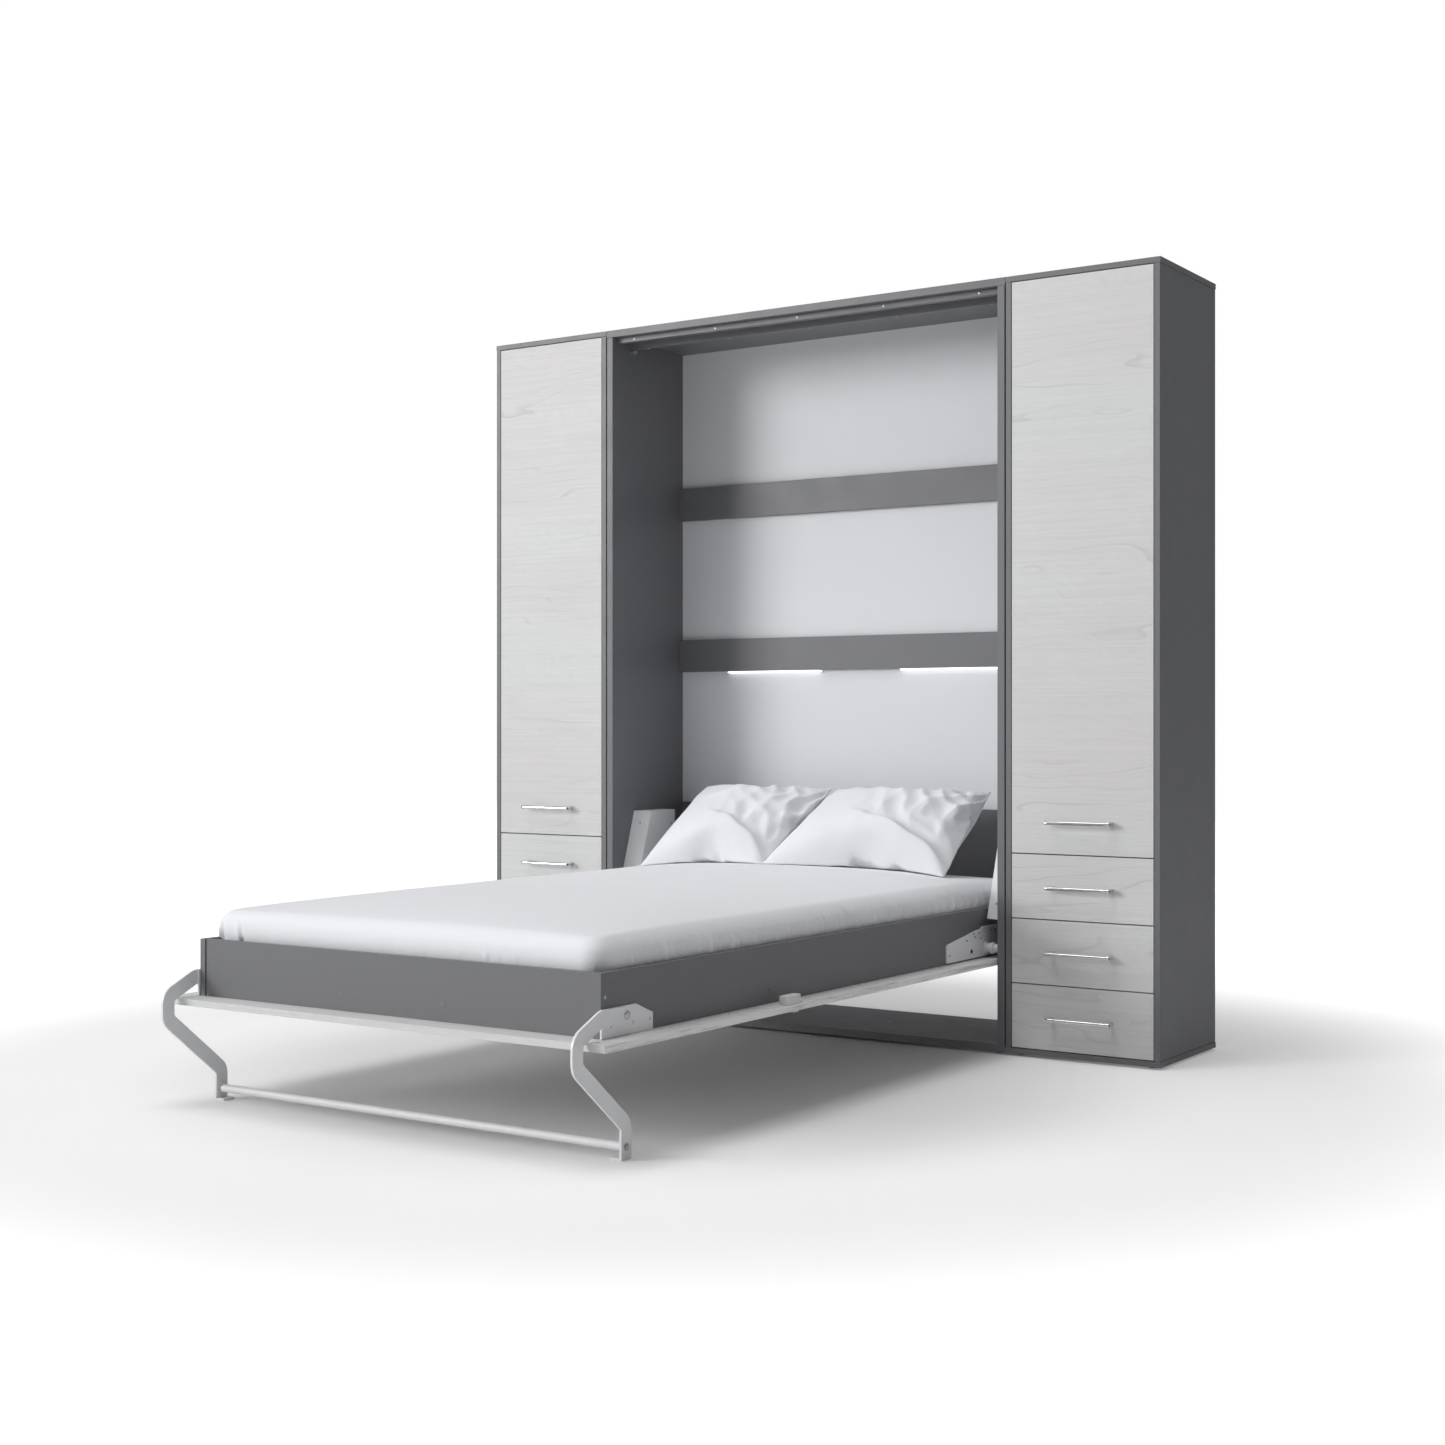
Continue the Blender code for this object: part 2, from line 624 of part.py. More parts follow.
def finished_mesh(obj):
    """The mesh that the object's modifiers make, in assembly space. The object itself is removed."""
    made = as_mesh(obj)
    made.data.transform(made.matrix_world)
    mesh = made.data
    bpy.data.objects.remove(made, do_unlink=True)
    mesh.materials.clear()
    return mesh


# ---------------------------------------------------------------- build
clear_scene()
wall_bed = new_collection("wall_bed")
cutters = new_collection("cutters")

grey_board = material("anthracite_board", (0.062, 0.064, 0.070), 0.45)
white_board = material("white_board", (0.80, 0.80, 0.80), 0.5)
pale_wood = material("pale_oak", (0.58, 0.57, 0.55), 0.5)
slat_wood = material("slat_birch", (0.60, 0.45, 0.28), 0.6)
light_metal = material("light_grey_metal", (0.52, 0.53, 0.55), 0.4, 0.2)
dark_metal = material("strut_metal", (0.08, 0.08, 0.085), 0.35, 0.6)
steel = material("polished_steel", (0.70, 0.71, 0.73), 0.15, 1.0)
white_fabric = material("white_cotton", (0.85, 0.85, 0.86), 0.9)
lamp_white = material("lamp_white", (0.95, 0.95, 0.95), 0.3)

assembly = pivot("assembly", (0, 0, 0))
make_bed_unit()
make_bed()
front_width = CABINET_WIDTH - GAP - 2 * REVEAL - 2 * CABINET_BOARD - 2 * FRONT_GAP
drawer_height = DRAWER_JOINTS[1] - DRAWER_JOINTS[0] - 2 * JOINT_HALF
drawer = drawer_shape(front_width, drawer_height)
handle = handle_shape()
for cabinet, sign in (("left", -1), ("right", 1)):
    make_cabinet(cabinet, sign, drawer, handle)
assembly.location.y = FRONT_Y
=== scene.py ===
"""The looks of a wall bed between two tall cupboards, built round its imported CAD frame."""

import json
import math
import random

import bmesh
import bpy
from mathutils import Matrix, Vector, noise

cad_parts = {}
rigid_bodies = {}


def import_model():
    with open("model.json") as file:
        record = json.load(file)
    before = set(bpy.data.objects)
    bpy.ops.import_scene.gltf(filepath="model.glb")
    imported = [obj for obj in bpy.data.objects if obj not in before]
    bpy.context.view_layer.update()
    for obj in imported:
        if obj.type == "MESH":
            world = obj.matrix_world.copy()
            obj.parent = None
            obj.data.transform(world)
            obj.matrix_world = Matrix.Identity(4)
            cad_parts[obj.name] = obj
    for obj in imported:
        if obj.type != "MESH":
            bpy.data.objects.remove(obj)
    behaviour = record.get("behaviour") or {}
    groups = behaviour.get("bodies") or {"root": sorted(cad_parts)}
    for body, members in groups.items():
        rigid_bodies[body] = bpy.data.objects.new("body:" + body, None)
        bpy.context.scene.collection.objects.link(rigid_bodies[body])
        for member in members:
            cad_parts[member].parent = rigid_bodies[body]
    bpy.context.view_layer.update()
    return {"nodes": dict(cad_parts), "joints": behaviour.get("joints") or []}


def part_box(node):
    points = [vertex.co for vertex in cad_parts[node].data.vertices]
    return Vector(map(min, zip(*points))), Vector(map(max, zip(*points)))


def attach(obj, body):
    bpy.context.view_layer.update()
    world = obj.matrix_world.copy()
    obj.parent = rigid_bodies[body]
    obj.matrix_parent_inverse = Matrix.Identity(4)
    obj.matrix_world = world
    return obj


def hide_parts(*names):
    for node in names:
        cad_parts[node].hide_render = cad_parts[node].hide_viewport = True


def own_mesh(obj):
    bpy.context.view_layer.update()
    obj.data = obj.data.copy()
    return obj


for start_object in list(bpy.data.objects):
    bpy.data.objects.remove(start_object)
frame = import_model()
nodes = frame["nodes"]
scene = bpy.context.scene

# Places that come from the CAD, in metres. The cupboards' fronts lie in the plane y = front.
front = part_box("bed_unit_side_left")[0].y
niche_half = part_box("bed_unit_side_right")[0].x
panel_low, panel_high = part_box("bed_front_panel")
frame_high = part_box("bed_frame_side_right")[1]
mattress_low, mattress_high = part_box("mattress")
joints = {joint["name"]: joint for joint in frame["joints"]}
bed_pivot = Vector(joints["bed_fold"]["pos_m"])
leg_pivot = Vector(joints["leg_fold"]["pos_m"])
SIDES = (("left", -1), ("right", 1))
LEVELS = ("bottom", "middle", "top")

# The camera stands to the right of the open bed, level, at a sitting person's eye height.
CAMERA_BEFORE_FRONT = 5.13435
CAMERA_RIGHT = 3.1914
CAMERA_HEIGHT = 0.9356
CAMERA_TURN = math.radians(33.8736)
LENS = 50


# ------------------------ materials
class Shade:
    """A material being built: short names for the nodes it uses."""

    def __init__(self, name, colour, roughness, metallic=0.0):
        self.material = bpy.data.materials.new(name)
        self.material.use_nodes = True
        self.tree = self.material.node_tree
        self.shader = self.tree.nodes["Principled BSDF"]
        for key, value in (("Base Color", (*colour, 1)), ("Roughness", roughness), ("Metallic", metallic)):
            self.shader.inputs[key].default_value = value
        coordinates = self.tree.nodes.new("ShaderNodeTexCoord")
        self.place = coordinates.outputs["Object"]
        self.facing = coordinates.outputs["Normal"]

    def set(self, socket, value):
        if isinstance(value, bpy.types.NodeSocket):
            self.tree.links.new(value, socket)
        else:
            socket.default_value = value

    def node(self, kind, values, **settings):
        node = self.tree.nodes.new("ShaderNode" + kind)
        for key, value in settings.items():
            setattr(node, key, value)
        for key, value in values.items():
            self.set(node.inputs[key], value)
        return node

    def stretched(self, x, y, z, move=(0, 0, 0)):
        """Object coordinates scaled by x, y and z, so that a pattern is long where the scale is small."""
        values = {"Vector": self.place, "Scale": (x, y, z), "Location": move}
        return self.node("Mapping", values).outputs["Vector"]

    def noise(self, where, scale, detail=2.0, roughness=0.5, distortion=0.0):
        values = {"Vector": where, "Scale": scale, "Detail": detail, "Roughness": roughness,
                  "Distortion": distortion}
        return self.node("TexNoise", values).outputs["Fac"]

    def cells(self, where, scale, output="Distance"):
        values = {"Vector": where, "Scale": scale}
        return self.node("TexVoronoi", values).outputs[output]

    def waves(self, way, scale, distortion=0.0):
        values = {"Vector": self.place, "Scale": scale, "Distortion": distortion, "Detail": 1.0,
                  "Detail Scale": 6.0}
        return self.node("TexWave", values, bands_direction=way).outputs["Fac"]

    def math(self, operation, a, b=0.0):
        return self.node("Math", {0: a, 1: b}, operation=operation).outputs[0]

    def between(self, value, low, high, to_low=0.0, to_high=1.0):
        values = {"Value": value, "From Min": low, "From Max": high, "To Min": to_low, "To Max": to_high}
        return self.node("MapRange", values, interpolation_type="SMOOTHSTEP").outputs["Result"]

    def mix(self, share, a, b, blend="MIX"):
        node = self.node("Mix", {}, data_type="RGBA", blend_type=blend)
        self.set(node.inputs["Factor"], share)
        for socket, value in ((node.inputs["A"], a), (node.inputs["B"], b)):
            self.set(socket, (*value, 1) if isinstance(value, tuple) else value)
        return node.outputs["Result"]

    def bump(self, height, strength, distance, normal=None):
        values = {"Height": height, "Strength": strength, "Distance": distance}
        if normal is not None:
            values["Normal"] = normal
        return self.node("Bump", values).outputs["Normal"]

    def finish(self, colour=None, roughness=None, normal=None):
        for key, value in (("Base Color", colour), ("Roughness", roughness), ("Normal", normal)):
            if value is not None:
                self.set(self.shader.inputs[key], value)
        return self.material


def whitewashed_oak(name, streak_colour):
    """Pale oak decor: wavy growth lines along x, fibres, a few knots, and faint warm and cool patches.

    The edge band, on the faces that look along x, has streaks of its own and a lighter tone: the streaks are
    grain, the lighter tone is painted light."""
    s = Shade(name, (0.75, 0.75, 0.745), 0.5)
    up = s.node("SeparateXYZ", {"Vector": s.stretched(1.0, 0.8, 1.0)})
    sway = s.noise(s.stretched(0.55, 1.5, 1.5), 2.0, 3.0, 0.5, 0.2)
    drift = s.noise(s.stretched(0.25, 5.0, 5.0, (2.0, 0, 0)), 2.0, 2.0, 0.5)
    knot_cells = s.stretched(1.3, 3.6, 3.6, (0.3, 0.0, 0.4))
    knots, chosen = s.cells(knot_cells, 1.6), s.cells(knot_cells, 1.6, "Color")
    near_knot = s.between(knots, 0.34, 0.02)
    field = s.math("ADD", up.outputs["Z"], up.outputs["Y"])
    for bend, share in ((sway, 0.55), (drift, 0.22), (near_knot, 0.035)):
        field = s.math("ADD", field, s.math("MULTIPLY", bend, share))
    line = s.between(s.math("FRACT", s.math("MULTIPLY", field, 15.0)), 0.17, 0.0)
    rare = s.between(s.noise(s.stretched(0.5, 3.2, 3.2, (4.0, 0, 0)), 2.2, 3.0, 0.6), 0.46, 0.64)
    line = s.math("MULTIPLY", line, rare)
    bands = s.between(s.math("FRACT", s.math("MULTIPLY", field, 52.0)), 0.0, 1.0)
    fibres = s.noise(s.stretched(2.2, 210, 210), 1.0, 3.0, 0.65, 0.3)
    flecks = s.between(s.noise(s.stretched(16, 560, 560), 1.0, 2.0, 0.6), 0.6, 0.75)
    patches = s.noise(s.stretched(0.6, 1.8, 1.8), 1.7, 2.0, 0.5)
    tone = s.mix(s.between(patches, 0.35, 0.65), (0.735, 0.745, 0.74), (0.73, 0.713, 0.713))
    knot = s.math("MULTIPLY", s.between(knots, 0.05, 0.01), s.between(chosen, 0.5, 0.65))
    for layer, share, dark in ((bands, 0.05, (0.4, 0.39, 0.385)),
                               (s.between(fibres, 0.3, 0.75), 0.15, (0.45, 0.44, 0.43)),
                               (flecks, 0.14, (0.36, 0.34, 0.33)),
                               (line, 0.24, (0.33, 0.32, 0.315)),
                               (knot, 0.4, (0.27, 0.26, 0.255))):
        tone = s.mix(s.math("MULTIPLY", layer, share), tone, dark)
    # Painted light: faces that look along x get a lighter tone, with the edge band's own streaks on it.
    facing = s.node("SeparateXYZ", {"Vector": s.facing}).outputs["X"]
    painted_edge_light_share = s.between(s.math("ABSOLUTE", facing), 0.55, 0.85)
    streaks = s.noise(s.stretched(60, 5.0, 130), 1.0, 4.0, 0.7, 0.8)
    edge_grain_and_painted_light = s.mix(s.between(streaks, 0.45, 0.68), (0.93, 0.93, 0.92), streak_colour)
    tone = s.mix(painted_edge_light_share, tone, edge_grain_and_painted_light)
    relief = s.math("SUBTRACT", s.math("SUBTRACT", fibres, flecks), line)
    return s.finish(tone, s.between(fibres, 0.2, 0.8, 0.42, 0.58), s.bump(relief, 0.2, 0.0004))


def pearl_laminate(name, colour, darker, roughness):
    """Melamine-faced board: a fine pearl grain, faint clouds and a slightly uneven gloss."""
    s = Shade(name, colour, roughness)
    pearls = s.cells(s.place, 620.0)
    grain = s.noise(s.place, 900.0, 2.0, 0.6)
    clouds = s.noise(s.place, 3.2, 3.0, 0.55)
    tone = s.mix(s.between(clouds, 0.3, 0.7, 0.0, 0.12), colour, darker)
    tone = s.mix(s.between(grain, 0.35, 0.75, 0.0, 0.16), tone, darker)
    gloss = s.between(s.noise(s.place, 14.0, 3.0, 0.6), 0.3, 0.7, roughness - 0.02, roughness + 0.03)
    return s.finish(tone, gloss, s.bump(s.math("ADD", pearls, grain), 0.12, 0.0002))


def painted_metal(name, colour, darker, roughness, metallic=0.0):
    """Powder coat: orange-peel bumps, with small worn and dusty places."""
    s = Shade(name, colour, roughness, metallic)
    peel = s.noise(s.place, 1100.0, 2.0, 0.5)
    wear = s.between(s.noise(s.place, 24.0, 5.0, 0.7), 0.45, 0.8)
    tone = s.mix(s.math("MULTIPLY", wear, 0.35), colour, darker)
    gloss = s.between(wear, 0.0, 1.0, roughness, roughness + 0.14)
    return s.finish(tone, gloss, s.bump(peel, 0.2, 0.0002))


def bright_metal(name, colour, roughness):
    """Plated or polished metal with fine turning marks and faint smears."""
    s = Shade(name, colour, roughness, 1.0)
    marks = s.noise(s.stretched(2400, 60, 60), 1.0, 2.0, 0.6)
    smears = s.noise(s.place, 55.0, 4.0, 0.65)
    tone = s.mix(s.between(smears, 0.4, 0.75, 0.0, 0.25), colour, tuple(0.82 * c for c in colour))
    gloss = s.between(smears, 0.35, 0.75, roughness, roughness + 0.13)
    return s.finish(tone, gloss, s.bump(marks, 0.08, 0.0001))


def moulded_plastic(name, colour, roughness):
    """Moulded plastic with a fine spark-eroded texture."""
    s = Shade(name, colour, roughness)
    texture = s.noise(s.place, 1500.0, 2.0, 0.5)
    tint = s.noise(s.place, 30.0, 3.0, 0.5)
    tone = s.mix(s.between(tint, 0.35, 0.7, 0.0, 0.3), colour, tuple(0.86 * c for c in colour))
    gloss = s.between(tint, 0.3, 0.7, roughness, roughness + 0.08)
    return s.finish(tone, gloss, s.bump(texture, 0.15, 0.0002))


def woven_cotton(name, colour, slub_and_weave_shade_colour):
    """Plain-weave cotton: crossing threads with painted shade in the weave's hollows, slubs and a soft nap.
    """
    s = Shade(name, colour, 0.86)
    s.shader.inputs["Sheen Weight"].default_value = 0.25
    s.shader.inputs["Sheen Roughness"].default_value = 0.5
    across, along, rising = [s.waves(way, 260.0, 1.2) for way in "XYZ"]
    weave = s.math("ADD", s.math("MULTIPLY", across, along), rising)
    slubs = s.noise(s.stretched(30, 260, 260), 1.0, 2.0, 0.6)
    creases = s.noise(s.place, 26.0, 4.0, 0.55, 0.6)
    # Painted shade: the low places of the weave are mixed towards the darker colour.
    tone = s.mix(s.between(weave, 0.1, 1.2, 0.1, 0.0), colour, slub_and_weave_shade_colour)
    tone = s.mix(s.between(slubs, 0.5, 0.8, 0.0, 0.18), tone, slub_and_weave_shade_colour)
    soft = s.bump(creases, 0.1, 0.004)
    return s.finish(tone, s.between(slubs, 0.3, 0.7, 0.8, 0.92), s.bump(weave, 0.1, 0.0003, soft))


def slat_wood():
    """Layer-glued birch: grain along x, glue lines on the edges."""
    s = Shade("slat_birch", (0.52, 0.38, 0.24), 0.55)
    grain = s.noise(s.stretched(3, 110, 110), 1.0, 4.0, 0.6, 0.5)
    layers = s.math("MULTIPLY", s.noise(s.stretched(0.2, 0.2, 700), 1.0, 0.0), 3.0)
    glue = s.between(s.math("FRACT", layers), 0.12, 0.0)
    tone = s.mix(s.between(grain, 0.3, 0.75), (0.6, 0.45, 0.29), (0.42, 0.29, 0.17))
    tone = s.mix(s.math("MULTIPLY", glue, 0.3), tone, (0.22, 0.14, 0.08))
    return s.finish(tone, s.between(grain, 0.2, 0.8, 0.45, 0.62), s.bump(grain, 0.25, 0.0004))


LAMP_GLOW = 1.3


def lamp_diffuser():
    """A frosted light strip, lit evenly with a faint row of brighter spots."""
    s = Shade("lamp_diffuser", (0.92, 0.93, 0.95), 0.35)
    glow = s.mix(s.waves("X", 9.0), (0.94, 0.96, 1.0), (1.0, 1.0, 1.0))
    s.set(s.shader.inputs["Emission Color"], glow)
    s.shader.inputs["Emission Strength"].default_value = LAMP_GLOW
    frost = s.noise(s.place, 700.0, 2.0, 0.5)
    return s.finish(None, s.between(frost, 0.3, 0.7, 0.3, 0.42), s.bump(frost, 0.1, 0.0002))


def pale_floor():
    """A smooth near-white studio floor with the faintest mottling, and painted light: a glow, seen only by
    the camera, that brightens it the farther it lies from the middle.
    """
    s = Shade("studio_floor", (0.92, 0.92, 0.915), 0.7)
    mottle = s.noise(s.place, 1.3, 4.0, 0.6)
    fine = s.noise(s.place, 90.0, 3.0, 0.6)
    tone = s.mix(s.between(mottle, 0.3, 0.7), (0.84, 0.84, 0.835), (0.82, 0.82, 0.815))
    away = s.node("VectorMath", {0: s.place}, operation="LENGTH").outputs["Value"]
    s.shader.inputs["Emission Color"].default_value = (1, 1, 1, 1)
    # Painted light: no glow near the bed, more glow farther out, for camera rays only.
    glow = s.math("ADD", s.between(away, 0.75, 1.5, 0.0, 0.24), s.between(away, 1.7, 3.0, 0.0, 0.5))
    seen = s.node("LightPath", {}).outputs["Is Camera Ray"]
    s.set(s.shader.inputs["Emission Strength"], s.math("MULTIPLY", glow, seen))
    return s.finish(tone, s.between(fine, 0.3, 0.7, 0.62, 0.78), s.bump(fine, 0.04, 0.0004))


oak = whitewashed_oak("whitewashed_oak", (0.86, 0.855, 0.85))
panel_oak = whitewashed_oak("whitewashed_oak_panel", (0.55, 0.54, 0.52))
grey = pearl_laminate("anthracite_laminate", (0.17, 0.172, 0.184), (0.162, 0.164, 0.175), 0.42)
white = pearl_laminate("white_board", (0.815, 0.82, 0.845), (0.795, 0.8, 0.825), 0.5)
metal = painted_metal("light_grey_powder_coat", (0.87, 0.875, 0.89), (0.76, 0.765, 0.78), 0.3)
black_metal = painted_metal("black_enamel", (0.022, 0.022, 0.024), (0.05, 0.05, 0.052), 0.3, 0.4)
chrome = bright_metal("chrome", (0.8, 0.81, 0.83), 0.07)
zinc = bright_metal("zinc_plate", (0.55, 0.56, 0.58), 0.28)
dark_plastic = moulded_plastic("dark_plastic", (0.05, 0.05, 0.055), 0.45)
white_plastic = moulded_plastic("white_plastic", (0.74, 0.74, 0.74), 0.38)
grey_plastic = moulded_plastic("grey_plastic", (0.2, 0.203, 0.215), 0.42)
cotton = woven_cotton("white_cotton", (0.9, 0.905, 0.93), (0.79, 0.795, 0.82))
birch = slat_wood()
diffuser = lamp_diffuser()

NODE_LOOKS = {"grey_board": grey, "white_board": white, "pale_oak": oak, "grey_metal": metal,
              "slat": birch, "strut": black_metal, "handle_steel": chrome, "cotton": cotton,
              "lamp": white_plastic}
ROUNDED = {"grey_board": 0.0008, "pale_oak": 0.0006, "grey_metal": 0.0006, "slat": 0.001}


def dress_nodes():
    """Every CAD node gets its material, and the boards and plates get slightly rounded edges."""
    for node in nodes.values():
        slot = node.data.materials[0].name.split(".")[0]
        node.data.materials[0] = panel_oak if node == nodes["bed_front_panel"] else NODE_LOOKS[slot]
        if slot not in ROUNDED:
            continue
        weld = node.modifiers.new("Weld", "WELD")
        weld.merge_threshold = 0.00002
        bevel = node.modifiers.new("Edges", "BEVEL")
        bevel.width = ROUNDED[slot]
        bevel.segments = 2
        bevel.limit_method = "ANGLE"
        bevel.angle_limit = math.radians(40)
        bevel.harden_normals = True


# ------------------------ shapes
def box(bm, a, b, edge=0.0, look=0):
    """A block with rounded edges between the opposite corners a and b, added to bm."""
    low = Vector([min(p, q) for p, q in zip(a, b)])
    high = Vector([max(p, q) for p, q in zip(a, b)])
    centre, size = (low + high) / 2, high - low
    place = Matrix.Translation(centre) @ Matrix.Diagonal((*size, 1))
    made = bmesh.ops.create_cube(bm, size=1, matrix=place)["verts"]
    faces = {f for v in made for f in v.link_faces}
    if edge:
        edges = list({e for v in made for e in v.link_edges})
        cut = bmesh.ops.bevel(bm, geom=edges, offset=edge, segments=3, profile=0.5, affect="EDGES")
        faces = {f for f in faces if f.is_valid} | set(cut["faces"])
    for face in faces:
        face.material_index = look


def turned(bm, rings, origin, axis, steps=32, look=0):
    """A turned shape along axis. A ring is (radius, distance along axis), or adds a fourfold lobe."""
    axis = Vector(axis).normalized()
    turn = axis.to_track_quat("Z", "Y").to_matrix()
    loops = []
    for radius, along, *lobe in rings:
        reach = lobe[0] if lobe else 0.0
        loop = []
        for k in range(steps):
            angle = 2 * math.pi * k / steps
            r = radius * (1 + reach * math.cos(4 * angle))
            point = Vector((r * math.cos(angle), r * math.sin(angle), along))
            loop.append(bm.verts.new(Vector(origin) + turn @ point))
        loops.append(loop)
    faces = [bm.faces.new(loops[0][::-1]), bm.faces.new(loops[-1])]
    for low, high in zip(loops, loops[1:]):
        faces += [bm.faces.new((low[k], low[(k + 1) % steps], high[(k + 1) % steps], high[k]))
                  for k in range(steps)]
    for face in faces:
        face.material_index = look


def screw(bm, origin, axis, radius=0.004, height=0.0016, look=0):
    """A cross-recessed pan head, standing on the surface at origin."""
    rings = [(radius * 0.97, -0.0004), (radius, height * 0.35), (radius * 0.9, height * 0.8),
             (radius * 0.62, height), (radius * 0.38, height, 0.45), (radius * 0.26, height * 0.25, 0.45)]
    turned(bm, rings, origin, axis, 24, look)


def cap(bm, origin, axis, radius=0.006, height=0.0012, look=0):
    """A push-in cover cap."""
    rings = [(radius * 0.97, -0.0003), (radius, height * 0.4), (radius * 0.94, height * 0.85),
             (radius * 0.6, height)]
    turned(bm, rings, origin, axis, 24, look)


def piece(name, body, bm, looks=(zinc,), replaced=(), smooth=35):
    """Makes the object, lets it ride on its body and hides the CAD parts it replaces."""
    bmesh.ops.recalc_face_normals(bm, faces=bm.faces)
    mesh = bpy.data.meshes.new(name)
    bm.to_mesh(mesh)
    bm.free()
    for look in looks:
        mesh.materials.append(look)
    mesh.polygons.foreach_set("use_smooth", [True] * len(mesh.polygons))
    mesh.set_sharp_from_angle(angle=math.radians(smooth))
    obj = bpy.data.objects.new(name, mesh)
    scene.collection.objects.link(obj)
    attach(obj, body)
    if replaced:
        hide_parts(*replaced)
    return obj


# ------------------------ fittings on the cupboards
HANDLE_GROOVES = (0.05, 0.155, 0.19, 0.225, 0.775, 0.81, 0.845, 0.95)  # shares of the bar's length


def make_handle(node, body):
    """A chrome bar with turned grooves, on two square posts."""
    low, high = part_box(node)
    radius = (high.z - low.z) / 2
    axis_y, axis_z = low.y + radius, (low.z + high.z) / 2
    length = high.x - low.x
    rings = [(radius * 0.72, 0.0), (radius * 0.93, 0.0006), (radius, 0.0016)]
    for share in HANDLE_GROOVES:
        middle = share * length
        rings += [(radius, middle - 0.0014), (radius * 0.86, middle - 0.0006),
                  (radius * 0.86, middle + 0.0006), (radius, middle + 0.0014)]
    rings += [(radius, length - 0.0016), (radius * 0.93, length - 0.0006), (radius * 0.72, length)]
    bm = bmesh.new()
    turned(bm, rings, (low.x, axis_y, axis_z), (1, 0, 0), 48)
    half = radius - 0.0004
    for end, way in ((low.x, -1), (high.x, 1)):
        middle = end - way * (radius + 0.0016)
        box(bm, (middle - half, axis_y, axis_z - half), (middle + half, high.y, axis_z + half), 0.0009, 1)
        plug = [(0.0034, 0.0), (0.0034, 0.0004), (0.0026, 0.0007)]
        turned(bm, plug, (end, axis_y, axis_z), (way, 0, 0), 24, 2)
    piece(f"{node}_bar", body, bm, looks=(chrome, zinc, dark_plastic), replaced=(node,))


HINGE_HEIGHTS = (0.06, 0.5, 0.94)  # shares of the door's height


def make_cupboard_fittings(side, sign):
    """Shelf pins, door hinges and drawer runners inside one cupboard."""
    shelf_low, shelf_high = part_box(f"{side}_cabinet_shelf")
    faces = [corner.x for part in ("inner", "outer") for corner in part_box(f"{side}_cabinet_{part}_side")]
    walls = sorted(faces)[1:3]
    door_low, door_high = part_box(f"{side}_door")
    bm = bmesh.new()
    for x, way in ((walls[0], 1), (walls[1], -1)):
        for y in (shelf_low.y + 0.05, shelf_high.y - 0.05):
            a = (x, y - 0.006, shelf_low.z - 0.01)
            b = (x + way * 0.009, y + 0.006, shelf_low.z - 0.0004)
            box(bm, a, b, 0.0012)
    piece(f"{side}_shelf_pins", "carcass", bm)
    hinge_wall = walls[1] if sign > 0 else walls[0]
    rear = door_high.y
    plates, cups = bmesh.new(), bmesh.new()
    for share in HINGE_HEIGHTS:
        z = door_low.z + share * (door_high.z - door_low.z)
        a = (hinge_wall, rear + 0.022, z - 0.026)
        b = (hinge_wall - sign * 0.005, rear + 0.058, z + 0.026)
        box(plates, a, b, 0.0016)
        a = (hinge_wall - sign * 0.0046, rear + 0.012, z - 0.008)
        b = (hinge_wall - sign * 0.014, rear + 0.07, z + 0.008)
        box(plates, a, b, 0.003)
        for dz in (-0.018, 0.018):
            screw(plates, (hinge_wall - sign * 0.005, rear + 0.04, z + dz), (-sign, 0, 0), 0.0036)
        cup_x = (door_high.x if sign > 0 else door_low.x) - sign * 0.0225
        rings = [(0.0174, 0.0002), (0.0175, 0.0014), (0.015, 0.0018), (0.014, 0.0006)]
        turned(cups, rings, (cup_x, rear - 0.0004, z), (0, 1, 0), 40)
        a = (cup_x - 0.006, rear - 0.0002, z - 0.024)
        b = (cup_x + 0.006, rear + 0.0016, z + 0.024)
        box(cups, a, b, 0.0006)
        for dz in (-0.0205, 0.0205):
            screw(cups, (cup_x, rear + 0.0014, z + dz), (0, 1, 0), 0.003, 0.0012)
    piece(f"{side}_hinge_arms", "carcass", plates)
    piece(f"{side}_hinge_cups", f"{side}_door", cups)
    make_runners(side, walls)


RUNNER_HIGH, RUNNER_SHEET, RUNNER_GAP = 0.04, 0.0012, 0.0125
DRAWER_BOX_LOW, DRAWER_BOX_HIGH = 0.022, 0.137  # above the drawer front's lower edge


def channels(outer, inner):
    """Both channels: mesh, half height, depths of the lips and the web, and how far forward it stands."""
    depth = RUNNER_GAP - 0.0003
    return ((outer, RUNNER_HIGH / 2, (0.0, 0.008), (0.0001, RUNNER_SHEET), 0.0),
            (inner, RUNNER_HIGH / 2 - 0.006, (0.0035, depth), (depth - RUNNER_SHEET, depth), 0.004))


def make_runners(side, walls):
    """Ball-bearing runners: a channel on each wall, and a narrower one on each drawer box."""
    outer = bmesh.new()
    for level in LEVELS:
        drawer = f"{side}_{level}_drawer"
        low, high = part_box(drawer)
        z = low.z + (DRAWER_BOX_LOW + DRAWER_BOX_HIGH) / 2
        y0, y1 = low.y + 0.024, high.y - 0.006
        inner = bmesh.new()
        for wall, way in ((walls[0], 1), (walls[1], -1)):
            for bm, half, lips, web, lag in channels(outer, inner):
                for top in (-1, 1):
                    edge = z + top * half
                    a = (wall + way * lips[0], y0 - lag, edge)
                    b = (wall + way * lips[1], y1 - lag, edge - top * RUNNER_SHEET)
                    box(bm, a, b, 0.0003)
                a = (wall + way * web[0], y0 - lag, z - half)
                b = (wall + way * web[1], y1 - lag, z + half)
                box(bm, a, b, 0.0003)
        piece(f"{drawer}_runners", drawer, inner)
    piece(f"{side}_cupboard_runners", "carcass", outer)


